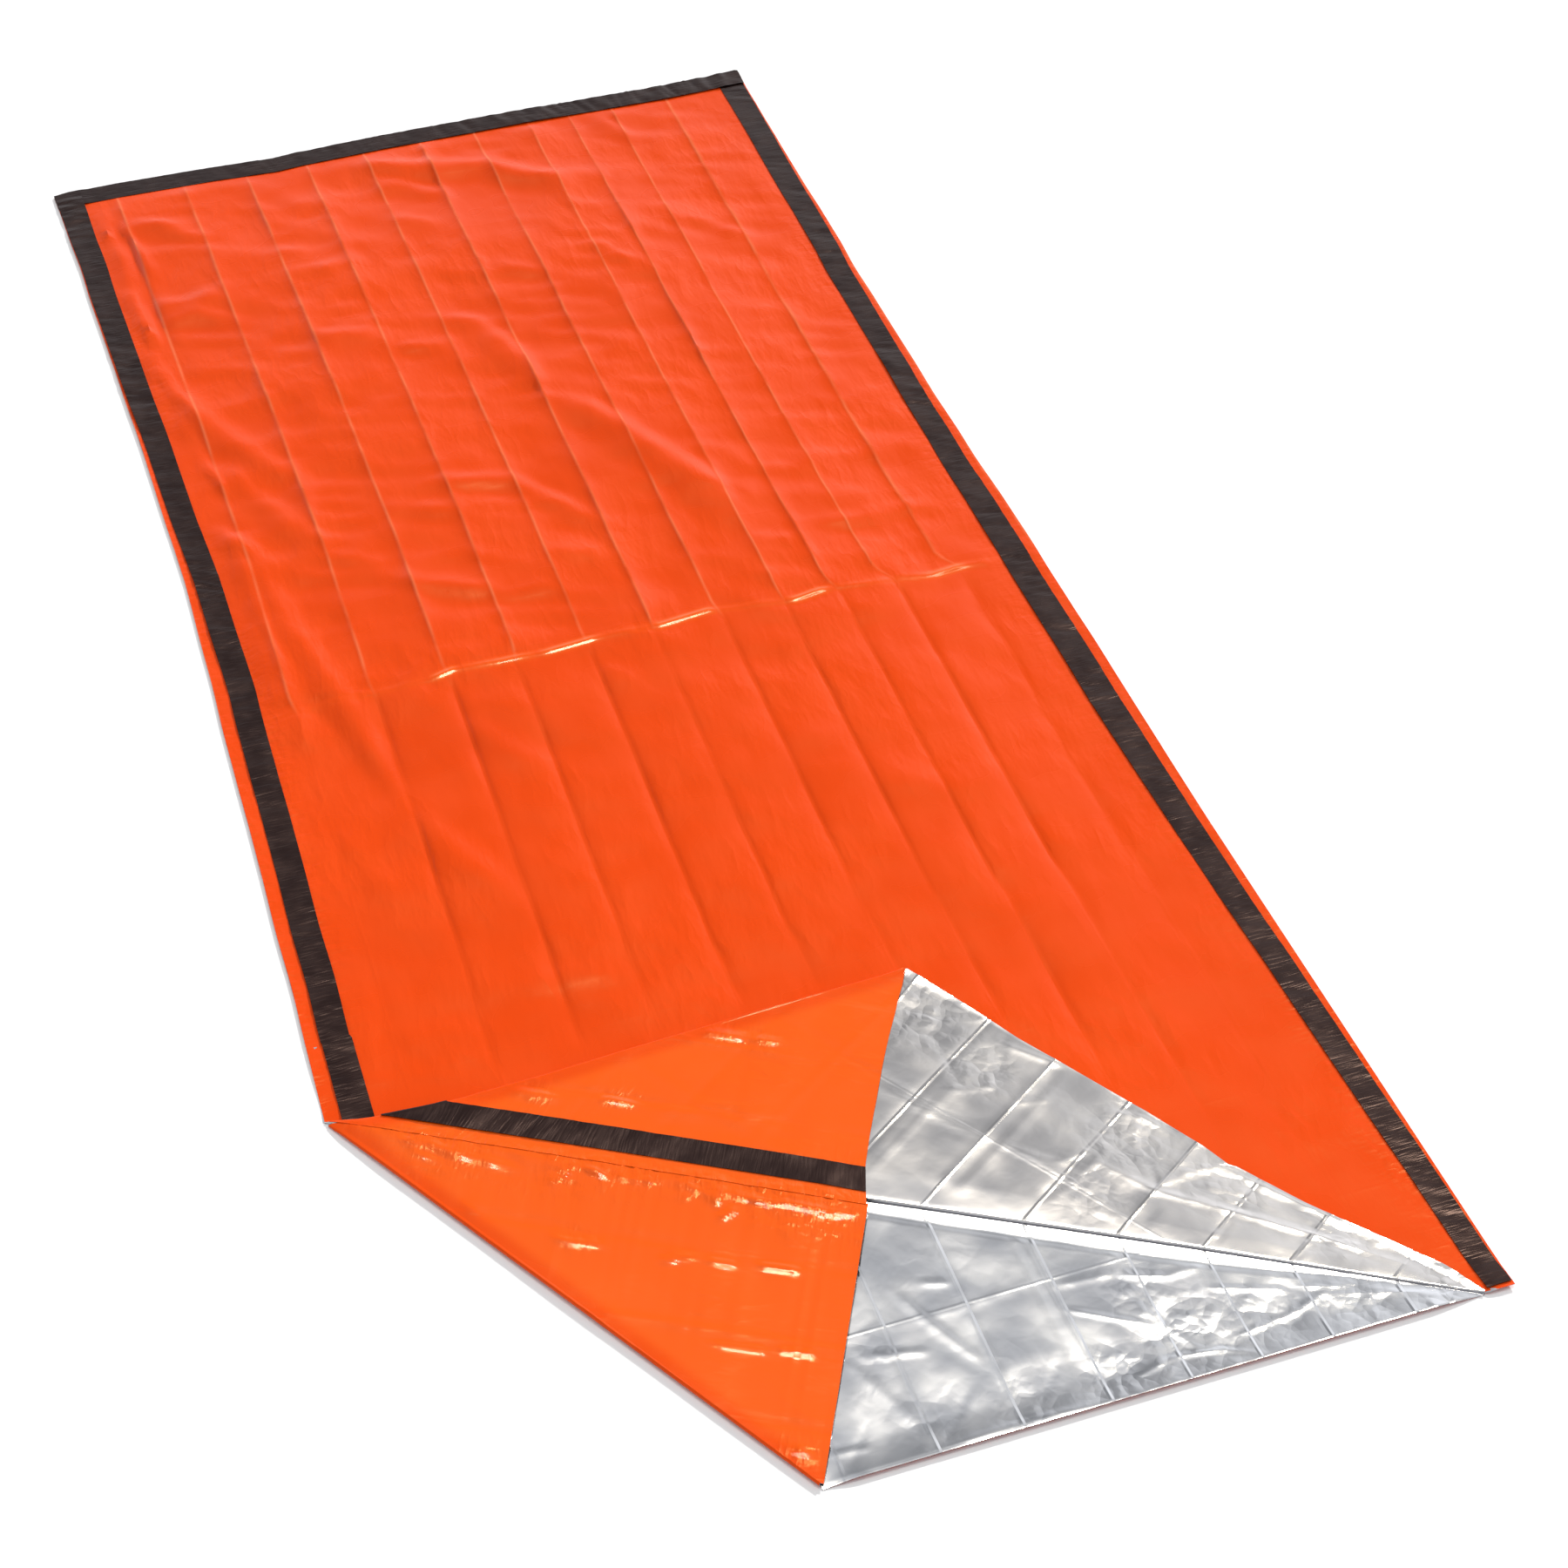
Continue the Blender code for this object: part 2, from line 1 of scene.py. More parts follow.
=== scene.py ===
"""Looks of an emergency sleeping bag of foil-backed film, lying flat with its near left corner open.

Two sheets of film, orange outside and silver inside, are sealed down both sides and across the foot,
and black tape covers the seams. At the mouth, the lower sheet's left corner is folded up along one
crease, the upper sheet is turned back along a second, and its corner comes forward again along a
third. All three creases start from the apex, a point on the left seam.

Places inside the functions are bag places: x runs from the left seam and y from the mouth edge, in
metres. A place on the uncut sheet is a flat place, and one looked at from above is a plan place. A
column of a sheet keeps its flat x from the foot to the mouth, through every fold, so the packing
creases run along the columns. The film is thinner here than the solids that it stands for.
"""

import math

import bpy
import numpy as np
from mathutils import Matrix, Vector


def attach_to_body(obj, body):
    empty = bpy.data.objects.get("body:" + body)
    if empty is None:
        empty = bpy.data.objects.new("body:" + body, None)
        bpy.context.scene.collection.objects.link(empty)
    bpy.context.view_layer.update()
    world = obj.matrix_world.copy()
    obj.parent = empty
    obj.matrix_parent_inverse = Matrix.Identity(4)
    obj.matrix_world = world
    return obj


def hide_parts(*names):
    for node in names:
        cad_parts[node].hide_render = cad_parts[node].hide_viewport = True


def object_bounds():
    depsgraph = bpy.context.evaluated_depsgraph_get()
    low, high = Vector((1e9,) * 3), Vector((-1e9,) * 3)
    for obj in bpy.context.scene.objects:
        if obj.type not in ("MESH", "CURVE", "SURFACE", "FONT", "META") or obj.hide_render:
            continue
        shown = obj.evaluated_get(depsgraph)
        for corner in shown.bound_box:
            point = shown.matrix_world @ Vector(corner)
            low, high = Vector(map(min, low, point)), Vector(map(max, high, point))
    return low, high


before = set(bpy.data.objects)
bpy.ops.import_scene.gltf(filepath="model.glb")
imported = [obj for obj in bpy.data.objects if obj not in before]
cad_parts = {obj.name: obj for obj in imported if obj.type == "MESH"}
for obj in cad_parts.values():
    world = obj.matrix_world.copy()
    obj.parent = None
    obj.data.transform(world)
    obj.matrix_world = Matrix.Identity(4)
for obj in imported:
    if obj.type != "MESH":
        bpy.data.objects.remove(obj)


def table(names, *rows):
    """A short table as its named columns, in order."""
    return dict(zip(names, np.array(rows, dtype=float).T))


CAD_LOW, CAD_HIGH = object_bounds()
BAG_WIDTH = CAD_HIGH[0] - CAD_LOW[0]
BAG_LENGTH = CAD_HIGH[1] - CAD_LOW[1]
CENTRE = np.array([(CAD_LOW[0] + CAD_HIGH[0]) / 2, (CAD_LOW[1] + CAD_HIGH[1]) / 2])
CORNER = CENTRE - np.array([BAG_WIDTH, BAG_LENGTH]) / 2

# Thicknesses and the air left between two layers that touch
FILM = 0.0003
TAPE = 0.0003
AIR = 0.0001
LOWER_Z = FILM / 2
SEALED_Z = LOWER_Z + FILM + AIR
TAPE_RISE = FILM / 2 + AIR + TAPE / 2

# Plan places of the fold's corners, and the flat x of the tip and lower creases at the mouth edge
APEX = np.array([0.0, 0.506])
MOUTH_FOLD = np.array([0.884, 0.0006])
LOWER_FOLD = np.array([0.295, 0.0004])
SEAM_END = np.array([0.4237, 0.2535])
TIP = np.array([0.552, 0.508])
MOUTH_FOLD_X = float(MOUTH_FOLD[0])
TIP_FOLD_X = 0.300
LOWER_FOLD_X = float(LOWER_FOLD[0])

# Bend radii from the apex to the mouth edge
RADII = table(
    ("along", "mouth", "tip", "lower"),
    (0.00, 0.0004, 0.0004, 0.0006),
    (0.02, 0.0011, 0.0006, 0.0012),
    (0.06, 0.0015, 0.0010, 0.0016),
    (0.12, 0.0016, 0.0012, 0.0020),
    (0.50, 0.0016, 0.0013, 0.0023),
    (0.75, 0.0014, 0.0013, 0.0021),
    (1.00, 0.0008, 0.0011, 0.0018),
)
BEND_STEPS = 7
SEAM_LAP = 0.0060
SEAM_DROP = FILM + 1.5 * AIR

# Air inside the bag: the upper sheet's rise above its sealed height
LOFT = 0.0078
SIDE_FLAT = 0.047
SIDE_RISE = 0.220
FOOT_FLAT = 0.042
FOOT_RISE = 0.300
MOUTH_REACH = 0.750
MOUTH_LIFT = 0.0028
MOUTH_LIFT_X = 0.600
MOUTH_LIFT_SPREAD = 0.230
MOUTH_LOW = 0.0014

# The seam on the left and the lower sheet's mouth edge curl up off the floor a little
CURL = 0.0026
CURL_WIDTH = 0.022
MOUTH_CURL = 0.0036
MOUTH_CURL_WIDTH = 0.032

# Packing creases run the length of the bag: their x in the near and the far half, the height that the
# strips tilt to there, and how strongly each one stands up in the far half or sinks in the near half
PACKING = table(
    ("near", "far", "height", "ridge", "groove"),
    (0.000, 0.000, 0.0000, 0.00, 0.00),
    (0.080, 0.075, -0.0003, 0.80, 0.75),
    (0.163, 0.160, 0.0004, 1.10, 0.80),
    (0.243, 0.240, -0.0004, 1.00, 0.90),
    (0.315, 0.318, 0.0003, 1.05, 0.85),
    (0.395, 0.393, -0.0003, 0.75, 0.95),
    (0.468, 0.468, 0.0005, 1.25, 0.70),
    (0.545, 0.540, -0.0004, 1.00, 0.75),
    (0.615, 0.613, 0.0005, 0.70, 0.80),
    (0.678, 0.668, -0.0004, 1.20, 0.80),
    (0.742, 0.725, 0.0003, 0.55, 0.75),
    (0.818, 0.800, -0.0003, 0.80, 0.70),
    (0.910, 0.910, 0.0000, 0.00, 0.00),
)
CREASE_NUMBERS = np.arange(len(PACKING["near"]))
RIDGE = 0.0027
RIDGE_LEFT = 0.0050
RIDGE_RIGHT = 0.0140
GROOVE = 0.0030
GROOVE_LEFT = 0.0085
GROOVE_RIGHT = 0.0036
LEAN = 1.8
BODY_RISE = 2.8
BODY_SHIFT = (-0.0015, -0.0085)
RAISED_SHIFT = (-0.0015, -0.0060)
CROSS_FOLD_GAP = 0.1335

# The crease across the middle: where it runs, and how sharply it stands up there
CROSS = table(
    ("x", "y", "rise"),
    (0.00, 1.070, 0.0000),
    (0.10, 1.070, 0.0001),
    (0.222, 1.0675, 0.0002),
    (0.226, 1.068, 0.0014),
    (0.250, 1.074, 0.0014),
    (0.256, 1.073, 0.0003),
    (0.300, 1.070, 0.0012),
    (0.320, 1.070, 0.0011),
    (0.343, 1.068, 0.0003),
    (0.348, 1.068, 0.0014),
    (0.404, 1.073, 0.0014),
    (0.410, 1.073, 0.0003),
    (0.470, 1.070, 0.0003),
    (0.475, 1.070, 0.0014),
    (0.533, 1.077, 0.0014),
    (0.540, 1.076, 0.0003),
    (0.616, 1.064, 0.0003),
    (0.628, 1.064, 0.0015),
    (0.656, 1.069, 0.0017),
    (0.670, 1.069, 0.0003),
    (0.772, 1.060, 0.0003),
    (0.788, 1.060, 0.0015),
    (0.815, 1.065, 0.0018),
    (0.828, 1.065, 0.0002),
    (0.91, 1.066, 0.0000),
)
CROSS_Y = 1.0595
CROSS_SHIFT = -0.0160
CROSS_HALF = 0.0065
CROSS_BROAD = 0.0014
CROSS_BROAD_HALF = 0.085

# Creases pressed in by handling, in plan: half width, rise, then the places that each one runs through
BODY_CREASES = (
    (0.026, 0.0024, (0.36, 2.08), (0.47, 2.04), (0.54, 2.02), (0.565, 1.99), (0.61, 1.955), (0.65, 1.945)),
    (0.020, 0.0016, (0.395, 1.70), (0.43, 1.675), (0.452, 1.62), (0.47, 1.53)),
    (0.026, 0.0024, (0.47, 1.49), (0.51, 1.46), (0.55, 1.38), (0.60, 1.28), (0.612, 1.22)),
    (0.024, 0.0020, (0.065, 1.64), (0.10, 1.55), (0.13, 1.49), (0.16, 1.44)),
    (0.016, 0.0014, (0.08, 1.35), (0.10, 1.20), (0.14, 1.02), (0.152, 0.90)),
    (0.009, -0.0010, (0.098, 1.08), (0.120, 1.00), (0.150, 0.885)),
    (0.013, 0.0012, (0.22, 1.232), (0.28, 1.204), (0.322, 1.18)),
    (0.014, 0.0011, (0.24, 1.362), (0.31, 1.33)),
    (0.015, 0.0013, (0.30, 1.384), (0.39, 1.362), (0.44, 1.29), (0.462, 1.25)),
    (0.012, 0.0011, (0.05, 1.395), (0.08, 1.345), (0.097, 1.325)),
    (0.014, 0.0012, (0.08, 2.035), (0.152, 2.01)),
    (0.014, 0.0011, (0.108, 2.03), (0.150, 1.98)),
    (0.020, 0.0015, (0.072, 1.845), (0.115, 1.835), (0.155, 1.85)),
    (0.016, 0.0013, (0.078, 1.808), (0.12, 1.812), (0.157, 1.785)),
    (0.010, 0.0009, (0.24, 1.912), (0.27, 1.902)),
    (0.013, 0.0010, (0.24, 1.86), (0.31, 1.848)),
    (0.010, 0.0009, (0.245, 1.76), (0.31, 1.754)),
    (0.024, 0.0014, (0.238, 1.695), (0.275, 1.705), (0.315, 1.69)),
    (0.010, 0.0010, (0.335, 1.652), (0.392, 1.64)),
    (0.012, 0.0010, (0.40, 1.935), (0.44, 1.90)),
    (0.018, 0.0014, (0.38, 2.02), (0.42, 2.01), (0.465, 1.97)),
    (0.012, 0.0009, (0.49, 1.785), (0.53, 1.752)),
    (0.012, 0.0010, (0.618, 1.79), (0.635, 1.75), (0.66, 1.73)),
    (0.014, 0.0012, (0.745, 1.81), (0.80, 1.755)),
    (0.014, 0.0010, (0.70, 2.09), (0.728, 2.03), (0.79, 2.005)),
    (0.014, 0.0010, (0.395, 1.03), (0.432, 0.978)),
    (0.016, 0.0010, (0.245, 0.985), (0.30, 0.90)),
    (0.020, 0.0011, (0.158, 0.88), (0.195, 0.80), (0.235, 0.72)),
    (0.014, 0.0009, (0.085, 0.88), (0.105, 0.83), (0.122, 0.77)),
    (0.008, 0.0008, (0.615, 1.168), (0.664, 1.152)),
    (0.008, 0.0007, (0.68, 1.172), (0.74, 1.170), (0.83, 1.172)),
    (0.018, 0.0014, (0.085, 1.50), (0.112, 1.43), (0.135, 1.37), (0.165, 1.32)),
    (0.014, 0.0009, (0.395, 1.225), (0.455, 1.20)),
    (0.014, 0.0010, (0.17, 1.295), (0.22, 1.262)),
    (0.010, 0.0008, (0.32, 1.166), (0.39, 1.168)),
    (0.013, -0.0014, (0.060, 2.08), (0.066, 1.95), (0.070, 1.82), (0.076, 1.72), (0.080, 1.66)),
    (0.009, 0.0014, (0.052, 2.09), (0.056, 1.95), (0.058, 1.84), (0.062, 1.74)),
    (0.010, 0.0010, (0.066, 1.38), (0.070, 1.25), (0.078, 1.12), (0.085, 0.95)),
    (0.007, 0.0012, (0.044, 2.06), (0.070, 1.90)),
    (0.007, 0.0012, (0.042, 1.91), (0.067, 1.74)),
    (0.007, 0.0012, (0.045, 1.76), (0.075, 1.60)),
    (0.007, 0.0010, (0.052, 1.60), (0.080, 1.44)),
    (0.006, 0.0009, (0.062, 2.07), (0.080, 1.97), (0.088, 1.90)),
    (0.006, 0.0008, (0.056, 1.22), (0.066, 1.08)),
    (0.012, 0.0009, (0.21, 0.62), (0.30, 0.60)),
    (0.014, 0.0008, (0.55, 0.86), (0.60, 0.84)),
    (0.014, 0.0009, (0.63, 0.76), (0.69, 0.735), (0.75, 0.74)),
)

# Creases of the turned-back layer, silver side up
TURNED_CREASES = (
    (0.010, 0.0011, (0.478, 0.386), (0.510, 0.345), (0.560, 0.285), (0.590, 0.245), (0.628, 0.180)),
    (0.008, 0.0010, (0.505, 0.248), (0.560, 0.285), (0.600, 0.312), (0.645, 0.345)),
    (0.008, 0.0007, (0.436, 0.292), (0.500, 0.335), (0.545, 0.360)),
    (0.012, 0.0011, (0.535, 0.362), (0.560, 0.354), (0.585, 0.352)),
    (0.009, 0.0010, (0.582, 0.212), (0.640, 0.247), (0.700, 0.285)),
    (0.011, 0.0014, (0.632, 0.240), (0.665, 0.195), (0.720, 0.153), (0.780, 0.105), (0.835, 0.055)),
    (0.010, 0.0009, (0.570, 0.278), (0.595, 0.252), (0.640, 0.255)),
    (0.009, 0.0009, (0.510, 0.425), (0.540, 0.455), (0.562, 0.440), (0.605, 0.430)),
    (0.008, -0.0008, (0.545, 0.445), (0.551, 0.400), (0.549, 0.362)),
    (0.007, -0.0008, (0.568, 0.480), (0.556, 0.440)),
    (0.008, -0.0008, (0.612, 0.410), (0.582, 0.350)),
    (0.008, -0.0007, (0.678, 0.252), (0.670, 0.200)),
    (0.008, 0.0009, (0.590, 0.325), (0.620, 0.323)),
    (0.010, 0.0010, (0.600, 0.402), (0.625, 0.375), (0.650, 0.350)),
    (0.009, 0.0010, (0.668, 0.290), (0.690, 0.275), (0.705, 0.250)),
    (0.010, 0.0010, (0.665, 0.197), (0.700, 0.205), (0.735, 0.202)),
    (0.012, 0.0012, (0.735, 0.198), (0.790, 0.130), (0.845, 0.068)),
    (0.006, -0.0006, (0.640, 0.163), (0.662, 0.178)),
    (0.006, -0.0006, (0.690, 0.125), (0.715, 0.143)),
    (0.006, -0.0006, (0.745, 0.088), (0.772, 0.100)),
)

# Creases of the upper sheet's corner, orange side up
CORNER_CREASES = (
    (0.008, 0.0010, (0.172, 0.486), (0.205, 0.463)),
    (0.007, 0.0011, (0.243, 0.452), (0.268, 0.434)),
    (0.008, 0.0013, (0.353, 0.497), (0.385, 0.476)),
    (0.007, 0.0011, (0.392, 0.474), (0.413, 0.461)),
    (0.014, 0.0006, (0.290, 0.420), (0.325, 0.405)),
    (0.012, 0.0005, (0.350, 0.392), (0.375, 0.384)),
)

# Creases of the lower sheet's corner, orange side up, most of them in its sealed strip
LOWER_CORNER_CREASES = (
    (0.008, 0.0010, (0.078, 0.457), (0.100, 0.437), (0.122, 0.420), (0.148, 0.400)),
    (0.005, 0.0009, (0.062, 0.464), (0.070, 0.462)),
    (0.005, 0.0009, (0.070, 0.446), (0.087, 0.432)),
    (0.005, 0.0009, (0.143, 0.427), (0.156, 0.418)),
    (0.005, 0.0009, (0.172, 0.370), (0.196, 0.386)),
    (0.006, 0.0012, (0.205, 0.382), (0.222, 0.364)),
    (0.005, 0.0007, (0.226, 0.362), (0.262, 0.344)),
    (0.005, 0.0008, (0.282, 0.336), (0.298, 0.316)),
    (0.006, 0.0016, (0.310, 0.322), (0.302, 0.302)),
    (0.006, 0.0012, (0.300, 0.287), (0.318, 0.294)),
    (0.006, 0.0013, (0.318, 0.310), (0.345, 0.290), (0.362, 0.284)),
    (0.008, 0.0016, (0.355, 0.289), (0.392, 0.263), (0.420, 0.253)),
    (0.006, 0.0014, (0.404, 0.280), (0.416, 0.262)),
    (0.006, 0.0010, (0.160, 0.315), (0.176, 0.304), (0.200, 0.294)),
    (0.006, 0.0008, (0.238, 0.262), (0.268, 0.256)),
    (0.006, 0.0010, (0.278, 0.248), (0.300, 0.236)),
    (0.006, 0.0012, (0.315, 0.230), (0.348, 0.212)),
    (0.006, 0.0009, (0.255, 0.166), (0.297, 0.143)),
    (0.006, 0.0011, (0.303, 0.143), (0.332, 0.128)),
    (0.006, 0.0012, (0.278, 0.048), (0.296, 0.040)),
    (0.014, 0.0009, (0.085, 0.360), (0.105, 0.372)),
)

# Creases of the lower sheet inside the mouth, silver side up
INSIDE_CREASES = (
    (0.007, -0.0008, (0.395, 0.220), (0.396, 0.140), (0.393, 0.060), (0.392, 0.000)),
    (0.008, 0.0011, (0.466, 0.225), (0.465, 0.180), (0.466, 0.120), (0.470, 0.030)),
    (0.008, 0.0012, (0.536, 0.192), (0.536, 0.130), (0.540, 0.070), (0.542, 0.010)),
    (0.006, -0.0009, (0.530, 0.185), (0.531, 0.110), (0.530, 0.030)),
    (0.008, 0.0010, (0.604, 0.155), (0.606, 0.100), (0.600, 0.050), (0.597, 0.010)),
    (0.007, 0.0008, (0.667, 0.118), (0.664, 0.080), (0.662, 0.045)),
    (0.007, -0.0008, (0.730, 0.085), (0.729, 0.040)),
    (0.010, 0.0004, (0.352, 0.130), (0.398, 0.136)),
    (0.010, 0.0004, (0.400, 0.131), (0.466, 0.130), (0.500, 0.133), (0.540, 0.138)),
    (0.010, 0.0008, (0.545, 0.125), (0.600, 0.122)),
    (0.010, 0.0011, (0.602, 0.118), (0.640, 0.104), (0.665, 0.106)),
    (0.008, 0.0012, (0.545, 0.100), (0.590, 0.072), (0.612, 0.058)),
    (0.008, 0.0014, (0.606, 0.080), (0.620, 0.050), (0.634, 0.026)),
    (0.008, 0.0012, (0.570, 0.016), (0.610, 0.026), (0.650, 0.020), (0.680, 0.004)),
    (0.008, 0.0012, (0.664, 0.028), (0.720, 0.034), (0.770, 0.050)),
    (0.012, 0.0013, (0.415, 0.165), (0.432, 0.125), (0.460, 0.070)),
    (0.014, 0.0008, (0.352, 0.112), (0.372, 0.070), (0.390, 0.030)),
    (0.006, -0.0007, (0.322, 0.010), (0.350, 0.048)),
    (0.006, -0.0007, (0.402, 0.008), (0.442, 0.054)),
    (0.006, -0.0007, (0.484, 0.008), (0.522, 0.058)),
    (0.010, 0.0010, (0.372, 0.108), (0.395, 0.104), (0.420, 0.098)),
    (0.009, 0.0009, (0.310, 0.028), (0.345, 0.024)),
    (0.010, 0.0010, (0.440, 0.165), (0.462, 0.158)),
    (0.008, 0.0009, (0.665, 0.082), (0.720, 0.062), (0.728, 0.056)),
    (0.008, 0.0009, (0.740, 0.058), (0.780, 0.044)),
    (0.010, 0.0009, (0.770, 0.040), (0.850, 0.014)),
    (0.009, 0.0008, (0.400, 0.004), (0.470, 0.006), (0.530, 0.003)),
)
INSIDE_BAND = 0.014
INSIDE_BAND_SHARE = 0.92
INSIDE_LOFT = 0.0009

# Directions in degrees and lengths of the crinkles that cross each other in the silver film
CRINKLES = ((14, 0.052), (48, 0.038), (83, 0.061), (112, 0.033), (141, 0.047), (167, 0.029))
CRINKLE_SLOPE = 0.0034
FACETS = ((0.075, 20.0, 0.00019), (0.038, 65.0, 0.00009))
TURNED_SLOPE = 0.042

# Where the turned-back layer is crumpled: the middle of each patch in plan, its radius and its strength
TURNED_CRUMPLES = (
    (0.550, 0.455, 0.085, 0.55),
    (0.575, 0.370, 0.060, 0.40),
    (0.670, 0.255, 0.070, 0.50),
    (0.610, 0.205, 0.060, 0.40),
    (0.730, 0.180, 0.070, 0.45),
    (0.800, 0.095, 0.060, 0.55),
    (0.860, 0.030, 0.040, 1.0),
)

# How crumpled the silver film is outside its placed patches
LEAST_CRUMPLE = 0.06

# Where the two folded corners, orange side up, are puckered: the same three values, in plan
CORNER_PUCKERS = (
    (0.375, 0.272, 0.050, 1.0),
    (0.345, 0.292, 0.038, 1.0),
    (0.405, 0.262, 0.035, 1.0),
    (0.308, 0.312, 0.024, 1.0),
    (0.285, 0.325, 0.026, 0.8),
    (0.255, 0.342, 0.030, 0.6),
    (0.222, 0.362, 0.030, 0.8),
    (0.188, 0.378, 0.032, 0.8),
    (0.110, 0.432, 0.045, 0.7),
    (0.075, 0.455, 0.030, 0.7),
    (0.395, 0.465, 0.030, 0.6),
    (0.365, 0.485, 0.026, 0.6),
    (0.258, 0.442, 0.030, 0.6),
    (0.190, 0.474, 0.030, 0.5),
    (0.180, 0.303, 0.030, 0.5),
    (0.290, 0.040, 0.030, 0.8),
)

# Where the lower sheet is crumpled inside the mouth: the same three values
INSIDE_CRUMPLES = (
    (0.630, 0.040, 0.080, 0.70),
    (0.560, 0.020, 0.060, 0.60),
    (0.700, 0.040, 0.060, 0.55),
    (0.780, 0.030, 0.060, 0.65),
    (0.400, 0.030, 0.070, 0.22),
    (0.480, 0.020, 0.060, 0.30),
    (0.610, 0.095, 0.060, 0.40),
    (0.375, 0.110, 0.050, 0.22),
    (0.850, 0.012, 0.040, 1.0),
)

# How far the tip crease has slipped along the seam's direction, by its own length from the apex
SLIPS = table(
    ("along", "slip"),
    (0.0000, 0.0000),
    (0.0150, 0.0176),
    (0.0250, 0.0235),
    (0.0715, 0.0332),
    (0.1730, 0.0313),
    (0.2815, 0.0225),
    (0.3870, 0.0154),
    (0.4505, 0.0110),
    (0.5265, 0.0040),
    (0.5520, 0.0000),
)
SLIP_REACH = 0.120

# How far the free edges of the turned-back layer and of its corner bow inwards along their length
BOWS = table(
    ("share", "turned", "corner"),
    (0.00, 0.0000, 0.0010),
    (0.07, -0.0040, 0.0040),
    (0.16, 0.0020, 0.0075),
    (0.28, 0.0100, 0.0078),
    (0.392, 0.0125, 0.0072),
    (0.402, 0.0150, 0.0070),
    (0.45, 0.0110, 0.0068),
    (0.55, 0.0085, 0.0065),
    (0.70, 0.0075, 0.0064),
    (0.78, 0.0072, 0.0055),
    (0.85, 0.0040, 0.0045),
    (0.93, 0.0015, 0.0015),
    (1.00, 0.0000, 0.0000),
)
BOW_REACH = 0.120

# How far the two side edges draw in along the bag, and how the foot edge wanders
EDGES = table(
    ("y", "left", "right"),
    (0.00, 0.000, 0.000),
    (0.50, 0.000, 0.006),
    (0.80, 0.006, 0.006),
    (1.05, 0.012, 0.005),
    (1.30, 0.017, 0.009),
    (1.55, 0.014, 0.008),
    (1.80, 0.008, 0.005),
    (2.00, 0.003, 0.003),
    (2.13, 0.000, 0.000),
)
EDGE_WANDER = 0.0012
FOOT = table(
    ("x", "short"),
    (0.00, 0.0060),
    (0.02, 0.0015),
    (0.08, 0.0000),
    (0.20, 0.0030),
    (0.28, 0.0085),
    (0.31, 0.0050),
    (0.42, 0.0010),
    (0.62, 0.0010),
    (0.80, 0.0050),
    (0.88, 0.0020),
    (0.905, 0.0010),
    (0.91, 0.0040),
)

# Each side tape's outer edge and inner edge, measured from its own side of the sheet
TAPES = table(
    ("y", "left_outer", "left_inner", "right_outer", "right_inner"),
    (0.00, 0.0160, 0.0440, 0.0010, 0.0235),
    (0.20, 0.0155, 0.0430, 0.0025, 0.0270),
    (0.45, 0.0150, 0.0420, 0.0080, 0.0340),
    (0.80, 0.0155, 0.0430, 0.0120, 0.0430),
    (1.10, 0.0160, 0.0440, 0.0120, 0.0430),
    (1.40, 0.0080, 0.0360, 0.0100, 0.0380),
    (1.70, 0.0035, 0.0330, 0.0060, 0.0360),
    (2.00, 0.0020, 0.0330, 0.0020, 0.0330),
    (2.13, 0.0015, 0.0340, 0.0015, 0.0340),
)
TAPE_MOUTH_END = 0.004
TAPE_FOOT_END = 0.006
TAPE_CALM = 0.014
FOOT_TAPE_WIDTH = 0.034
FOOT_TAPE_SIDE = 0.001
FOOT_TAPE_RAMP = 0.012

# Mesh rows and columns
NEAR_FROM = 0.600
FAR_ROWS = 108
MIDDLE_ROWS = 28
CROSS_ROW_STEPS = (0.018, 0.012, 0.008, 0.0055, 0.0035, 0.0018, 0.0, -0.0018, -0.0035, -0.0055, -0.008,
                   -0.012, -0.018)
NEAR_ROWS = 26
TURNED_ROWS = 60
CORNER_ROWS = 64
LOWER_CORNER_ROWS = 120
STRIP_SHARES = (0.0, 0.035, 0.10, 0.20, 0.31, 0.42, 0.53, 0.64, 0.75, 0.86, 0.93, 0.975)
HIDDEN_ROWS = 14
HIDDEN_INSET = 0.0016
INSIDE_ROWS = 118
INSIDE_COLUMN = 0.0034
FIRST_COLUMN = 0.0012
MOUTH_FOLD_COLUMN = 0.8825
TIP_FOLD_COLUMN = 0.2985
LOWER_FOLD_COLUMN = 0.2935
BENDS = math.pi * np.arange(1, BEND_STEPS + 1) / BEND_STEPS
NOISE_GRID = 64


def reading(columns, name, at):
    """A table's named column read at any place along its first one."""
    return np.interp(at, next(iter(columns.values())), columns[name])


def smooth(value):
    """Rises from 0 to 1 with level ends as value goes from 0 to 1: 3 t squared less 2 t cubed."""
    t = np.clip(value, 0.0, 1.0)
    return t * t * (3.0 - 2.0 * t)


def mixed(first, second, share):
    """The first value at share 0, the second at share 1, and a mixture of them in between."""
    return first * (1.0 - share) + second * share


def unit(run):
    """A plan direction made 1 long."""
    return run / np.linalg.norm(run)


def lattice(u, v, seed):
    """Seeded values at the four corners of the square that each place lies in, and its shares across it."""
    values = np.random.default_rng(seed).uniform(-1.0, 1.0, (NOISE_GRID, NOISE_GRID))
    i = np.floor(u).astype(int)
    j = np.floor(v).astype(int)
    corners = [values[(i + right) % NOISE_GRID, (j + up) % NOISE_GRID] for up in (0, 1) for right in (0, 1)]
    return corners, u - i, v - j


def noise(u, v, seed):
    """Soft unevenness from -1 to 1: random values on a unit grid, joined by smooth steps both ways."""
    (near, right, up, far), across, along = lattice(u, v, seed)
    across = smooth(across)
    return mixed(mixed(near, right, across), mixed(up, far, across), smooth(along))


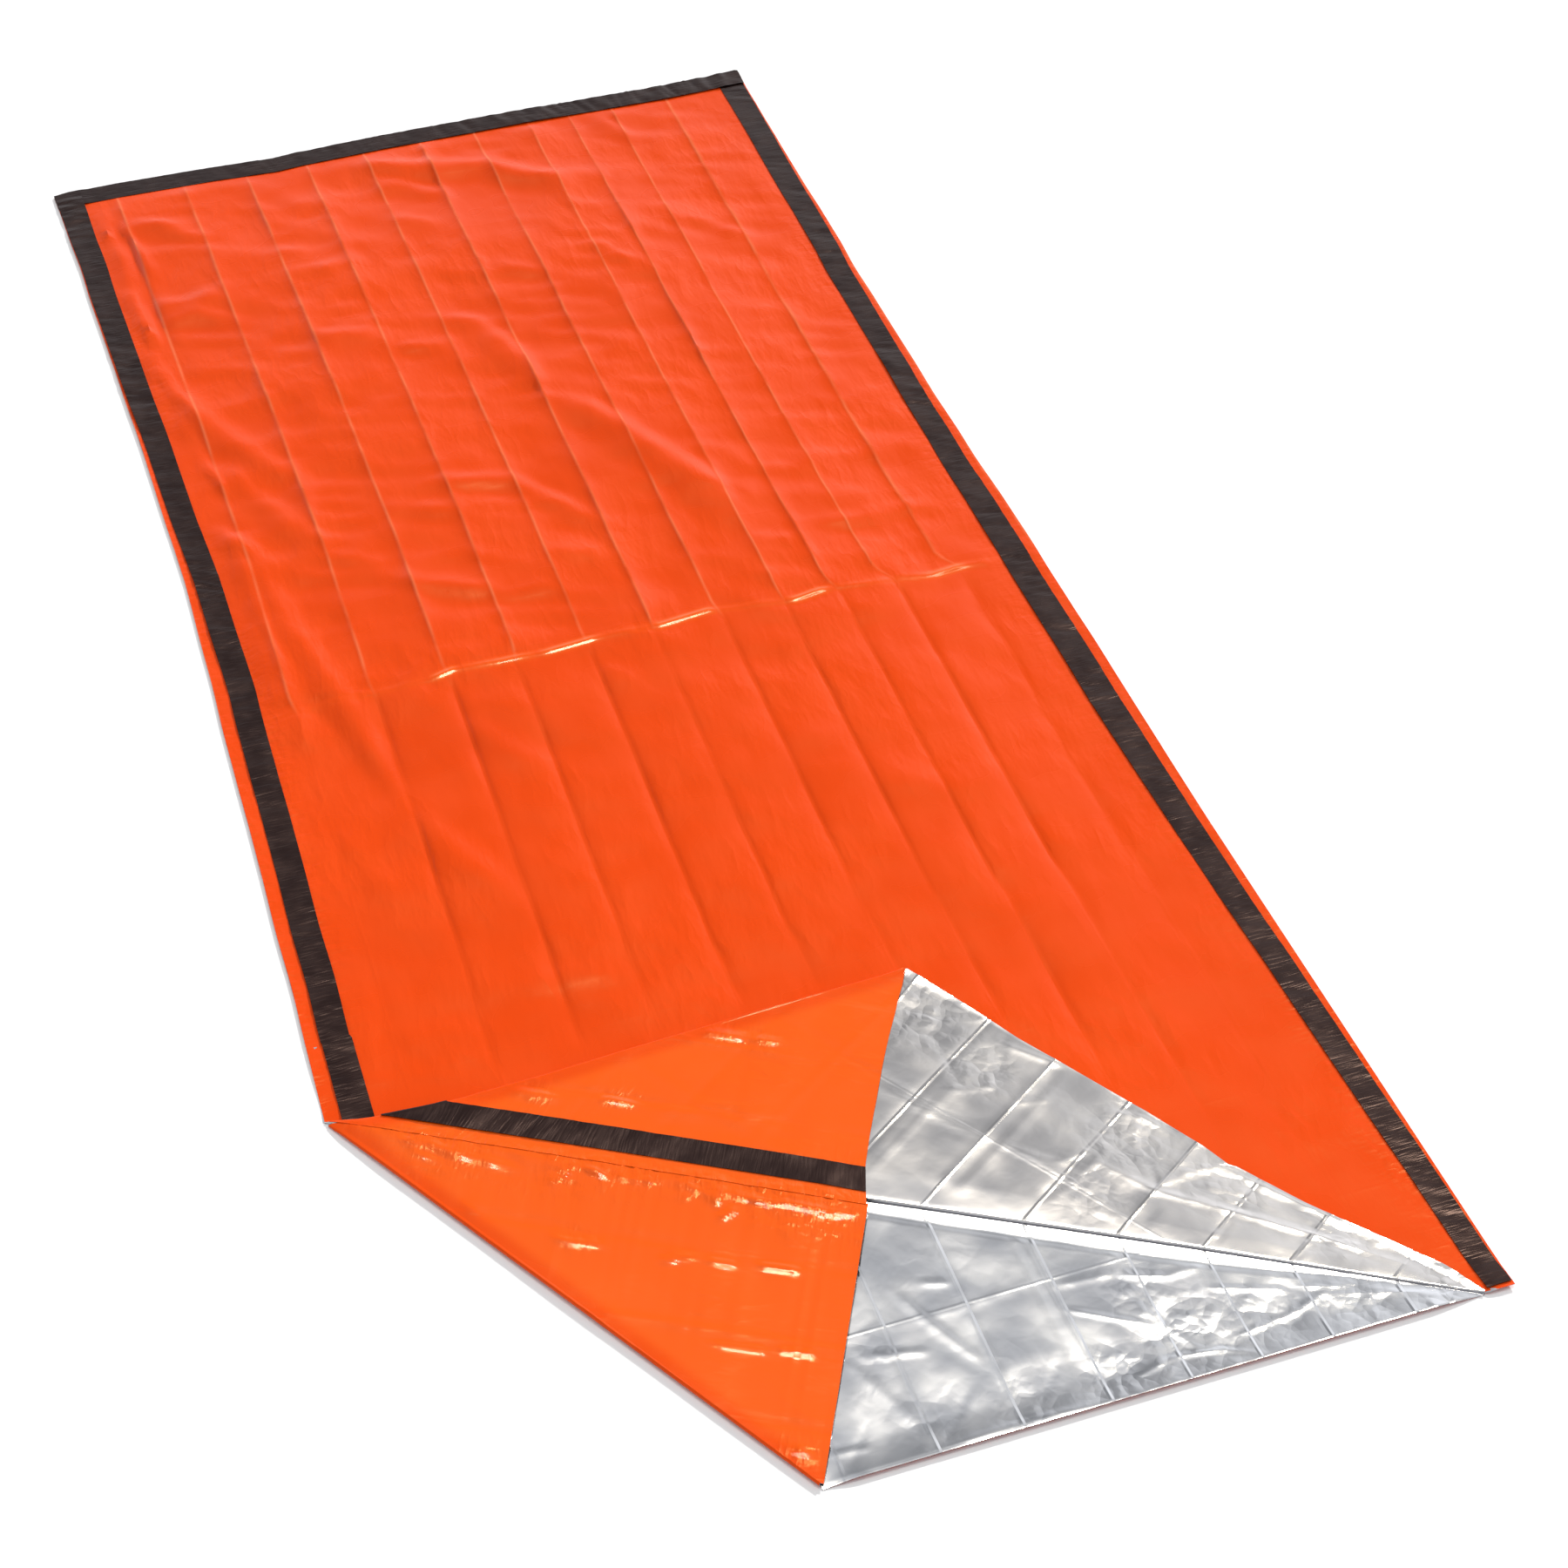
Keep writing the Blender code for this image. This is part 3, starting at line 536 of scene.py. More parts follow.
def ridges(u, v, seed):
    """Sharp-topped unevenness from -1 to 1: one less twice the size of the soft noise."""
    return 1.0 - 2.0 * np.abs(noise(u, v, seed))


def facets(u, v, seed):
    """Unevenness of flat facets from -1 to 1: random values on a grid of triangles, flat across each."""
    u, v = u + 0.35 * noise(u / 2.3, v / 2.3, seed + 1), v + 0.35 * noise(u / 2.3, v / 2.3, seed + 2)
    (near, right, up, far), a, b = lattice(u, v, seed)
    first = near + (right - near) * a + (up - near) * b
    second = far + (up - far) * (1.0 - a) + (right - far) * (1.0 - b)
    return np.where(a + b < 1.0, first, second)


def path_distance(x, y, path):
    """Distance of each place from a path of straight runs, the share passed, and if it is on the left."""
    path = np.array(path)
    runs = np.hypot(*np.diff(path, axis=0).T)
    passed = np.concatenate(([0.0], np.cumsum(runs)))
    nearest = np.full(x.shape, np.inf)
    share_there = np.zeros(x.shape)
    on_left = np.zeros(x.shape, dtype=bool)
    for k, run in enumerate(runs):
        (x0, y0), (x1, y1) = path[k], path[k + 1]
        share = np.clip(((x - x0) * (x1 - x0) + (y - y0) * (y1 - y0)) / run ** 2, 0.0, 1.0)
        away = np.hypot(x - x0 - share * (x1 - x0), y - y0 - share * (y1 - y0))
        closer = away < nearest
        nearest = np.where(closer, away, nearest)
        share_there = np.where(closer, (passed[k] + share * run) / passed[-1], share_there)
        left = (x1 - x0) * (y - y0) > (y1 - y0) * (x - x0)
        on_left = np.where(closer, left, on_left)
    return nearest, share_there, on_left


def pressed(plan, creases, lean=1.0, shift=(0.0, 0.0), sharp=False, width=1.0):
    """Sum of listed creases: each rises to a crest along its path and fades at both its ends.

    A crest that leans falls away that much more slowly on the right of its path than on the left. A
    sharp crest is steepest at its very top, as a fold pressed into foil is.
    """
    x, y = plan[..., 0], plan[..., 1]
    total = np.zeros(x.shape)
    for half, rise, *path in creases:
        away, share, on_left = path_distance(x - shift[0], y - shift[1], path)
        inward = np.clip(1.0 - away / (width * np.where(on_left, half, half * lean)), 0.0, 1.0)
        crest = 0.90 * inward ** 1.35 if sharp else smooth(inward)
        fade = 0.30 + 0.70 * smooth(np.minimum(share, 1.0 - share) / 0.18)
        total = total + rise * crest * fade
    return total


def far_share(y):
    """0 in the near half of the bag and 1 in the far half, with a short change at the cross crease."""
    return smooth((y - CROSS_Y + 0.020) / 0.040)


def packing_phase(x, y):
    """Counts packing creases across the bag: a whole number on each crease, in between by distance."""
    near = np.interp(x, PACKING["near"], CREASE_NUMBERS)
    far = np.interp(x, PACKING["far"], CREASE_NUMBERS)
    return near + (far - near) * far_share(y)


def column_x(near_x, y):
    """Flat x at y of a column that has near_x in the near half: it keeps its place among the creases."""
    return near_x + (np.interp(near_x, PACKING["near"], PACKING["far"]) - near_x) * far_share(y)


def outline(x, y):
    """Plan place of a flat place: the sides draw in, and both they and the foot edge wander a little."""
    across = x / BAG_WIDTH
    clear_of_ends = smooth(y / 0.05) * smooth((BAG_LENGTH - y) / 0.05)
    left = reading(EDGES, "left", y)
    above_apex = smooth((y - APEX[1] - 0.01) / 0.1)
    left = left + EDGE_WANDER * (1.0 + noise(y / 0.075, 0.5, 11)) * above_apex * clear_of_ends
    right = reading(EDGES, "right", y)
    right = right + EDGE_WANDER * (1.0 + noise(y / 0.068, 0.5, 12)) * clear_of_ends
    short = reading(FOOT, "short", x) * smooth((y - BAG_LENGTH * 0.75) / (BAG_LENGTH * 0.25))
    return np.stack((x + left * (1.0 - across) - right * across, y - short), axis=-1)


def fold_y(x, fold_x):
    """Flat y of a crease that runs straight from the apex to the mouth edge at fold_x, and 0 beyond it."""
    return APEX[1] * np.clip(1.0 - x / fold_x, 0.0, 1.0)


def loft(x, y):
    """Rise of the upper sheet: none along the sealed edges, most in the middle, some at the mouth."""
    side = smooth((x - SIDE_FLAT) / SIDE_RISE) * smooth((BAG_WIDTH - SIDE_FLAT - x) / SIDE_RISE)
    foot = smooth((BAG_LENGTH - FOOT_FLAT - y) / FOOT_RISE)
    inward = smooth((y - fold_y(x, MOUTH_FOLD_X)) / MOUTH_REACH)
    lip = MOUTH_LOW + (MOUTH_LIFT - MOUTH_LOW) * np.exp(-(((x - MOUTH_LIFT_X) / MOUTH_LIFT_SPREAD) ** 4))
    return side * foot * (lip + (LOFT - lip) * inward)


def clear_of_tapes(x, y):
    """0 under the tapes and outside them, rising to 1 a little way in."""
    left = smooth((x - reading(TAPES, "left_inner", y) - 0.002) / TAPE_CALM)
    right = smooth((BAG_WIDTH - x - reading(TAPES, "right_inner", y) - 0.002) / TAPE_CALM)
    foot = smooth((BAG_LENGTH - FOOT_TAPE_WIDTH - 0.002 - y) / TAPE_CALM)
    return left * right * foot


def clear_of_turned(x, y):
    """0 under the turned-back layer, rising to 1 a little way outside it."""
    edge = unit(MOUTH_FOLD - TIP)
    right_of_edge = (x - TIP[0]) * -edge[1] + (y - TIP[1]) * edge[0]
    return smooth(0.15 + np.maximum(y - APEX[1], right_of_edge) / 0.045)


def packing_creases(x, y):
    """Sharp ridges in the far half and sharp grooves in the near half, on strips that tilt in turn.

    Each falls off on either side as e to the power of minus the distance over a width: the ridges are
    steep on the left, the grooves on the right. Their strength wanders along the bag.
    """
    phase = packing_phase(x, y)
    strips = np.interp(phase, CREASE_NUMBERS, PACKING["height"])
    strips = strips * (1.0 + 0.8 * noise(x / 0.16, y / 0.30, 22))
    spacing = np.gradient(PACKING["near"])
    far = far_share(y)
    total = strips
    for k in CREASE_NUMBERS[1:-1]:
        away = (phase - k) * spacing[k]
        on_left = away < 0
        ridge = np.exp(-np.abs(away) / np.where(on_left, RIDGE_LEFT, RIDGE_RIGHT))
        groove = np.exp(-np.abs(away) / np.where(on_left, GROOVE_LEFT, GROOVE_RIGHT))
        ridge = ridge * RIDGE * PACKING["ridge"][k]
        groove = groove * GROOVE * PACKING["groove"][k]
        uneven = 0.85 + 0.65 * noise(k * 3.7, y / 0.09, 21)
        total = total + uneven * (ridge * far - groove * (1.0 - far))
    return total


def cross_crease(x, y):
    """A broad low ridge across the middle, with a narrow ridge on it that is sharp in short lengths."""
    middle = reading(CROSS, "y", x) + CROSS_SHIFT
    rise = reading(CROSS, "rise", x)
    away = np.abs(y - middle)
    broad = CROSS_BROAD * np.clip(1.0 - away / CROSS_BROAD_HALF, 0.0, 1.0) ** 1.5
    return broad + rise * smooth(1.0 - away / CROSS_HALF)


def clear_of_cross(x, y):
    """0 on the cross crease where it is sharp, rising to 1 a little way off."""
    away = np.abs(y - reading(CROSS, "y", x) - CROSS_SHIFT)
    sharp = np.clip(reading(CROSS, "rise", x) / 0.0010, 0.0, 1.0)
    return 1.0 - 0.9 * sharp * smooth(1.4 - away / 0.022)


def slack(x, y):
    """Slack of the film: broad soft waves that slant down to the right, with finer sharp ones on them."""
    slant = x + 0.45 * y
    broad = 0.0018 * noise(slant / 0.085, (y - 0.5 * x) / 0.21, 31)
    fine = 0.00130 * ridges((y + 0.35 * x) / 0.034, (x - 0.3 * y) / 0.075, 32)
    small = 0.00045 * ridges((y + 0.25 * x) / 0.016, (x - 0.3 * y) / 0.035, 33)
    far = 0.55 + 0.45 * smooth((y - 0.65) / 0.45)
    return (broad + fine + small) * far


def curl(x, y):
    """Rise of both sheets where they curl up off the floor: along the left seam, and at the right corner."""
    uneven = 0.75 + 0.25 * noise(y / 0.20, 0.5, 13)
    ends = smooth((y - APEX[1] - 0.005) / 0.08) * smooth((BAG_LENGTH - FOOT_TAPE_WIDTH - y) / 0.10)
    left = CURL * uneven * ends * smooth(1.0 - x / CURL_WIDTH)
    past_fold = smooth((x - MOUTH_FOLD_X + 0.010) / 0.020)
    corner = 0.8 * MOUTH_CURL * past_fold * smooth(1.0 - y / MOUTH_CURL_WIDTH)
    return left + corner


def body_height(plan):
    """Middle height of the upper sheet where it lies over the lower one."""
    x, y = plan[..., 0], plan[..., 1]
    creases = BODY_RISE * pressed(plan, BODY_CREASES, LEAN, BODY_SHIFT)
    relief = cross_crease(x, y) + (packing_creases(x, y) + creases + slack(x, y)) * clear_of_cross(x, y)
    return SEALED_Z + loft(x, y) + curl(x, y) + clear_of_tapes(x, y) * clear_of_turned(x, y) * np.maximum(
        relief, -0.8 * loft(x, y))


def bend_radius(name, along):
    """Radius of a bend at a share of the way from the apex to the mouth edge."""
    return reading(RADII, name, along)


def outward(end, beyond):
    """Unit direction across a crease in plan, towards the side that the point beyond lies on."""
    run = unit(end - APEX)
    across = np.array([-run[1], run[0]])
    return across * math.copysign(1.0, across.dot(beyond - APEX))


MOUTH_ACROSS = outward(MOUTH_FOLD, np.zeros(2))
TIP_ACROSS = outward(TIP, APEX + TIP)
LOWER_ACROSS = outward(LOWER_FOLD, np.zeros(2))
SEAM_UNDER = -outward(SEAM_END, np.zeros(2))


def times(amounts, direction):
    """A direction scaled by each of an array of amounts."""
    return np.multiply.outer(amounts, direction)


def from_apex(*legs):
    """Plan place reached from the apex by going each leg, a share of the way from the apex to a point."""
    place = APEX
    for share, point in legs:
        place = place + times(share, point - APEX)
    return place


def shares(plan, first, second):
    """Shares u and v that take the apex to a plan place: u towards the first point, v towards the second."""
    basis = np.column_stack((first - APEX, second - APEX))
    found = (plan - APEX).dot(np.linalg.inv(basis).T)
    return found[..., 0], found[..., 1]


def crinkles(x, y, seed):
    """Crinkled foil: flat facets of two sizes, and straight-sided waves in several directions in patches."""
    total = np.zeros(x.shape)
    for k, (direction, length) in enumerate(CRINKLES):
        turn = math.radians(direction)
        run = (x * math.cos(turn) + y * math.sin(turn)) / length
        run = run + 0.55 * noise(x / 0.11, y / 0.11, seed + k)
        wave = 4.0 * np.abs(run - np.floor(run) - 0.5) - 1.0
        patch = smooth(0.45 + 0.9 * noise(x / 0.10, y / 0.10, seed + 20 + k))
        total = total + CRINKLE_SLOPE * length / 4.0 * wave * patch
    for k, (cell, direction, rise) in enumerate(FACETS):
        turn = math.radians(direction)
        u = (x * math.cos(turn) + y * math.sin(turn)) / cell
        v = (y * math.cos(turn) - x * math.sin(turn)) / cell
        total = total + rise * facets(u, v, seed + 40 + 5 * k)
    return total


def turned_height(plan):
    """Height of the turned-back layer: a bend's width above the body, plus its creases and crinkles.

    From the bend, it climbs steadily over the pale band along the crease, then lies level, and comes
    down to the body along the free mouth edge, where its last few millimetres curl up.
    """
    u, v = shares(plan, MOUTH_FOLD, TIP)
    along = np.clip(u + v, 0.0, 1.0)
    flat_x = MOUTH_FOLD_X * u + TIP_FOLD_X * v
    flat_y = APEX[1] * (1.0 - along)
    from_crease = np.maximum(v * abs((TIP - APEX).dot(MOUTH_ACROSS)), 0.0)
    band = 0.008 + 0.028 * np.clip((1.0 - along) / 0.52, 0.0, 1.0)
    in_band = np.clip(1.0 - from_crease / band, 0.0, 1.0)
    shown = smooth((plan[..., 0] - (SEAM_END[0] - 0.03) - 0.5 * (plan[..., 1] - SEAM_END[1])) / 0.05)
    climb = TURNED_SLOPE * band / 1.1 * (1.0 - in_band ** 1.1) * (0.3 + 0.7 * shown)
    free_edge = smooth(1.0 - flat_y / 0.110) * smooth(from_crease / 0.030)
    room = (2.0 * bend_radius("mouth", along) + climb) * (1.0 - 0.70 * free_edge)
    lip = 0.0010 * smooth(1.0 - flat_y / 0.009) * smooth(from_crease / 0.015)
    wrinkled = smooth((from_crease - 0.8 * band) / 0.012) * smooth(along / 0.25)
    relief = wrinkled * (crinkles(flat_x, flat_y, 50) + 0.25 * pressed_grid(flat_x, flat_y))
    relief = relief + 0.60 * smooth(from_crease / 0.006) * pressed(
        plan, TURNED_CREASES, 1.0, RAISED_SHIFT, True, 0.70)
    relief = np.maximum(relief + lip, -room + FILM + AIR)
    return body_height(plan) + room + relief


def pressed_grid(flat_x, flat_y):
    """The packing creases of the silver film: narrow lines along the bag and across it."""
    total = 0.0
    for count, half in ((packing_phase(flat_x, flat_y), 0.09), (flat_y / CROSS_FOLD_GAP, 0.05)):
        whole = np.rint(count)
        total = total + np.clip(1.0 - np.abs(count - whole) / half, 0.0, 1.0) * np.cos(math.pi * whole)
    return 0.0016 * total


def uneven_grid(strength, flat_x, flat_y, seed):
    """The packing creases as they show on the folded corners, stronger in some places than in others."""
    patch = 0.4 + 0.6 * noise(flat_x / 0.04, flat_y / 0.06, seed)
    return strength * pressed_grid(flat_x, flat_y) * patch


def corner_height(plan):
    """Height of the upper sheet's corner that comes forward again over the turned-back layer."""
    u, v = shares(plan, TIP, SEAM_END)
    along = np.clip(u + v, 0.0, 1.0)
    from_crease = np.maximum(v * abs((SEAM_END - APEX).dot(TIP_ACROSS)), 0.0)
    flat_x = TIP_FOLD_X * u
    flat_y = APEX[1] * (1.0 - along)
    near_edge = smooth(1.0 - flat_y / 0.050) * smooth(from_crease / 0.025)
    room = 2.0 * bend_radius("tip", along) * (1.0 - 0.6 * near_edge)
    off_tape = smooth((flat_x - 0.046) / TAPE_CALM)
    relief = 0.0005 * noise(flat_x / 0.05 + 0.4 * flat_y / 0.05, flat_y / 0.12, 61)
    relief = relief + uneven_grid(0.4, flat_x, flat_y, 62)
    relief = relief + 1.5 * pressed(plan, CORNER_CREASES, 1.0, RAISED_SHIFT)
    relief = smooth(from_crease / 0.012) * off_tape * relief
    seal = smooth(1.0 - flat_x / 0.013) * smooth(along / 0.1)
    relief = relief + 0.0005 * seal * (1.0 + ridges(flat_y / 0.012, flat_x / 0.020, 63))
    relief = np.maximum(relief, -room + FILM + AIR)
    return turned_height(plan) + room + relief


def lying(plan, height, side, x, flat_y):
    """A sheet that lies at plan places and heights: points, thickness directions and flat places.

    The thickness direction is up, at side 1, or down once the sheet is turned over, at side -1.
    """
    points = np.concatenate((plan, height[..., None]), axis=-1)
    normals = np.zeros(points.shape)
    normals[..., 2] = side
    return points, normals, np.stack((x, flat_y), axis=-1)


def bend(x, angle, name, fold_x, line, across, height, side, held=True):
    """A half-round bend whose outermost line is the crease: points, outward directions and flat places.

    It starts at the sheet's height a radius inside the line. Held, its flat places stop at the mouth edge.
    """
    radius = bend_radius(name, x / fold_x)
    points = np.empty(line.shape[:-1] + (3,))
    points[..., :2] = line - times(radius * (1.0 - np.sin(angle)), across)
    points[..., 2] = height(line - times(radius, across)) + radius * (1.0 - np.cos(angle))
    normals = np.empty(points.shape)
    normals[..., :2] = times(-side * np.sin(angle), across)
    normals[..., 2] = side * np.cos(angle)
    flat_y = fold_y(x, fold_x) - radius * (angle - math.pi / 2)
    return points, normals, np.stack((x, np.maximum(flat_y, 0.0) if held else flat_y), axis=-1)


def mouth_edge(x):
    """Plan places along the mouth edge."""
    return np.stack((x, np.zeros(x.shape)), axis=-1)


def body_place(x, y):
    """The upper sheet over the lower one, at a flat place, which is where its height is read too."""
    return lying(outline(x, y), body_height(np.stack((x, y), axis=-1)), 1.0, x, y)


def near_place(x, share):
    """The upper sheet between the mouth crease, at share 0, and the first straight row, at share 1."""
    along = x / MOUTH_FOLD_X
    on_crease = from_apex((along, MOUTH_FOLD)) - times(bend_radius("mouth", along), MOUTH_ACROSS)
    start = np.where((x > MOUTH_FOLD_COLUMN)[..., None], mouth_edge(x), on_crease)
    plan = mixed(start, outline(x, np.full(x.shape, NEAR_FROM)), share[..., None])
    return lying(plan, body_height(plan), 1.0, x, mixed(fold_y(x, MOUTH_FOLD_X), NEAR_FROM, share))


def mouth_bend_place(x, angle):
    """The upper sheet's bend along the mouth crease, from the body up to the turned-back layer."""
    line = from_apex((x / MOUTH_FOLD_X, MOUTH_FOLD))
    return bend(x, angle, "mouth", MOUTH_FOLD_X, line, MOUTH_ACROSS, body_height, 1.0, held=False)


def bowed(plan, along_edge, flat_y, name, start, end):
    """Plan places near a free edge moved inwards by the edge's bow, which fades away from the edge."""
    run = unit(end - start)
    inward = np.array([-run[1], run[0]])
    inward = inward * math.copysign(1.0, inward.dot(APEX - start))
    amount = reading(BOWS, name, along_edge) * smooth(1.0 - flat_y / BOW_REACH)
    return plan + times(amount, inward)


def slipped(plan, most):
    """Plan places moved along the seam's direction, as far as the tip crease slipped, fading from it."""
    run = unit(TIP - APEX)
    seam = unit(SEAM_END - APEX)
    away = np.abs((plan - APEX).dot(TIP_ACROSS))
    slip = reading(SLIPS, "slip", (plan - APEX).dot(run)) * smooth(1.0 - away / SLIP_REACH)
    return plan + times(slip * most, seam)


def turned_place(x, share):
    """The turned-back layer: share 0 at the mouth crease, share 1 at the tip crease or the mouth edge."""
    flat_y = mixed(fold_y(x, MOUTH_FOLD_X), fold_y(x, TIP_FOLD_X), share)
    along = 1.0 - flat_y / APEX[1]
    v = (MOUTH_FOLD_X * along - x) / (MOUTH_FOLD_X - TIP_FOLD_X)
    at_tip = share * smooth((TIP_FOLD_X - x) / 0.004 + 0.5)
    plan = from_apex((along - v, MOUTH_FOLD), (v, TIP))
    plan = plan - times(bend_radius("mouth", along) * (1.0 - share), MOUTH_ACROSS)
    plan = slipped(plan, v / along)
    plan = plan - times(bend_radius("tip", along) * at_tip, TIP_ACROSS)
    plan = bowed(plan, v / along, flat_y, "turned", MOUTH_FOLD, TIP)
    return lying(plan, turned_height(plan), -1.0, x, flat_y)


def tip_bend_place(x, angle):
    """The upper sheet's bend along the tip crease, from the turned-back layer up to the corner."""
    line = slipped(from_apex((x / TIP_FOLD_X, TIP)), 1.0)
    return bend(x, angle, "tip", TIP_FOLD_X, line, TIP_ACROSS, turned_height, -1.0)


def corner_place(x, share):
    """The upper sheet's corner, orange side up: share 0 at the tip crease, share 1 at the mouth edge."""
    flat_y = fold_y(x, TIP_FOLD_X) * (1.0 - share)
    along = 1.0 - flat_y / APEX[1]
    u = x / TIP_FOLD_X
    plan = slipped(from_apex((u, TIP), (along - u, SEAM_END)), 1.0)
    plan = plan - times(bend_radius("tip", along) * (1.0 - share), TIP_ACROSS)
    plan = bowed(plan, u / along, flat_y, "corner", SEAM_END, TIP)
    return lying(plan, corner_height(plan), 1.0, x, flat_y)


def inside_height(plan):
    """Height of the lower sheet inside the mouth: creases, crinkles, and a slope up to the mouth crease.

    The slope ends just under the upper sheet's bend. At the mouth edge, the sheet curls up a little.
    """
    x, y = plan[..., 0], plan[..., 1]
    below = (plan - APEX).dot(MOUTH_ACROSS)
    shown = smooth((below + 0.030) / 0.024) * smooth((y + 0.002) / 0.004)
    lip = loft(x, np.maximum(y, fold_y(x, MOUTH_FOLD_X)))
    width = INSIDE_BAND * np.clip(lip / MOUTH_LIFT, 0.25, 1.0)
    slope_up = INSIDE_BAND_SHARE * lip * np.clip(1.0 - below / width, 0.0, 1.0) ** 1.25
    open_air = smooth((below - 0.7 * width) / 0.010)
    creases = 0.55 * pressed(plan, INSIDE_CREASES, sharp=True, width=0.70)
    relief = INSIDE_LOFT + crinkles(x, y, 70) + creases
    ends = smooth((x - LOWER_FOLD_X) / 0.035) * smooth((MOUTH_FOLD_X + 0.006 - x) / 0.060)
    uneven = 0.85 + 0.15 * noise(x / 0.12, 0.5, 14)
    mouth_curl = MOUTH_CURL * uneven * ends * np.clip(1.0 - y / MOUTH_CURL_WIDTH, 0.0, 1.0) ** 1.6
    clear_of_crease = smooth((below + 0.004) / 0.006)
    return LOWER_Z + shown * np.maximum(slope_up + open_air * relief, 0.0) + mouth_curl * clear_of_crease


def hidden_place(x, share):
    """The lower sheet on the floor, under the upper one: share 0 at the mouth, share 1 at the foot."""
    past_crease = x > MOUTH_FOLD_COLUMN
    start = np.where(past_crease[..., None], mouth_edge(x), from_apex((x / MOUTH_FOLD_X, MOUTH_FOLD)))
    crease = fold_y(x, MOUTH_FOLD_X)
    flat_y = mixed(crease, BAG_LENGTH, share)
    plan = outline(x, flat_y) + (start - outline(x, crease)) * ((1.0 - share) ** 8)[..., None]
    plan[..., 0] = plan[..., 0] + HIDDEN_INSET * (1.0 - 2.0 * x / BAG_WIDTH) * smooth(share / 0.01)
    height = np.where(past_crease, LOWER_Z, inside_height(plan)) + curl(x, flat_y)
    return lying(plan, height, 1.0, x, flat_y)


def inside_place(x, share):
    """The lower sheet inside the mouth: share 0 below the mouth crease, share 1 at its crease or its edge."""
    along = np.minimum(x / LOWER_FOLD_X, 1.0)
    on_crease = from_apex((along, LOWER_FOLD)) - times(bend_radius("lower", along), LOWER_ACROSS)
    end = np.where((x > LOWER_FOLD_COLUMN)[..., None], mouth_edge(x), on_crease)
    plan = mixed(from_apex((x / MOUTH_FOLD_X, MOUTH_FOLD)), end, share[..., None])
    flat_y = mixed(fold_y(x, MOUTH_FOLD_X), fold_y(x, LOWER_FOLD_X), share)
    return lying(plan, inside_height(plan), 1.0, x, flat_y)


def lower_bend_place(x, angle):
    """The bend along the lower sheet's own crease."""
    line = from_apex((x / LOWER_FOLD_X, LOWER_FOLD))
    return bend(x, angle, "lower", LOWER_FOLD_X, line, LOWER_ACROSS, inside_height, 1.0)


def lower_corner_place(x, share):
    """The lower sheet's corner, orange side up: share 0 at its crease, share 1 at the mouth edge.

    It rises evenly from its crease to the seam, and its last strip lies under the upper sheet's corner.
    """
    flat_y = fold_y(x, LOWER_FOLD_X) * (1.0 - share)
    along = 1.0 - flat_y / APEX[1]
    u = x / LOWER_FOLD_X
    v = along - u
    lap = SEAM_LAP * smooth(along / 0.008)
    to_seam = np.clip(v / np.maximum(along, 1e-6), 0.0, 1.0)
    radius = bend_radius("lower", along)
    plan = from_apex((u, LOWER_FOLD), (v, SEAM_END))
    plan = plan + times(lap * to_seam, SEAM_UNDER) - times(radius * (1.0 - to_seam), LOWER_ACROSS)
    run = np.linalg.norm(LOWER_FOLD - SEAM_END) * along
    from_seam = (1.0 - to_seam) * (run + lap) - lap
    base = LOWER_Z + 2.0 * radius
    rise = corner_height(from_apex((along, SEAM_END))) - SEAM_DROP - base
    height = base + rise * np.clip(1.0 - from_seam / np.maximum(run, 1e-6), 0.0, 1.0) ** 0.8
    height = height + 0.9 * SEAM_DROP * smooth(from_seam / 0.0035) * smooth(1.0 - from_seam / 0.030)
    height = np.where(from_seam < 0.0, corner_height(plan) - SEAM_DROP, height)
    away = smooth((from_seam - 0.002) / 0.008) * smooth((1.0 - to_seam) * 8.0)
    away = away * smooth(to_seam * along / 0.06)
    relief = 0.0006 * noise(x / 0.05 + flat_y / 0.11, flat_y / 0.10, 81)
    relief = relief + uneven_grid(0.5, x, flat_y, 82)
    seal = smooth(1.0 - from_seam / 0.028) * smooth(along / 0.2)
    relief = relief * (1.0 - seal) + 0.0005 * seal * ridges(flat_y / 0.011 + x / 0.03, x / 0.020, 83)
    relief = relief + 1.5 * pressed(plan, LOWER_CORNER_CREASES, 1.0, RAISED_SHIFT)
    height = height + np.maximum(away * relief, -0.6 * base * (1.0 - to_seam))
    return lying(plan, height, -1.0, x, flat_y)


def grid(place, columns, rows):
    """A surface's points, directions and flat places on a grid of rows by columns."""
    x, t = np.meshgrid(columns, rows)
    return place(x, t)


def grid_faces(first, rows, columns):
    """Quads of a grid of vertices numbered row by row from the first."""
    start = np.arange(rows - 1)[:, None] * columns + np.arange(columns - 1)[None, :] + first
    return np.stack((start, start + columns, start + columns + 1, start + 1), axis=-1).reshape(-1, 4)


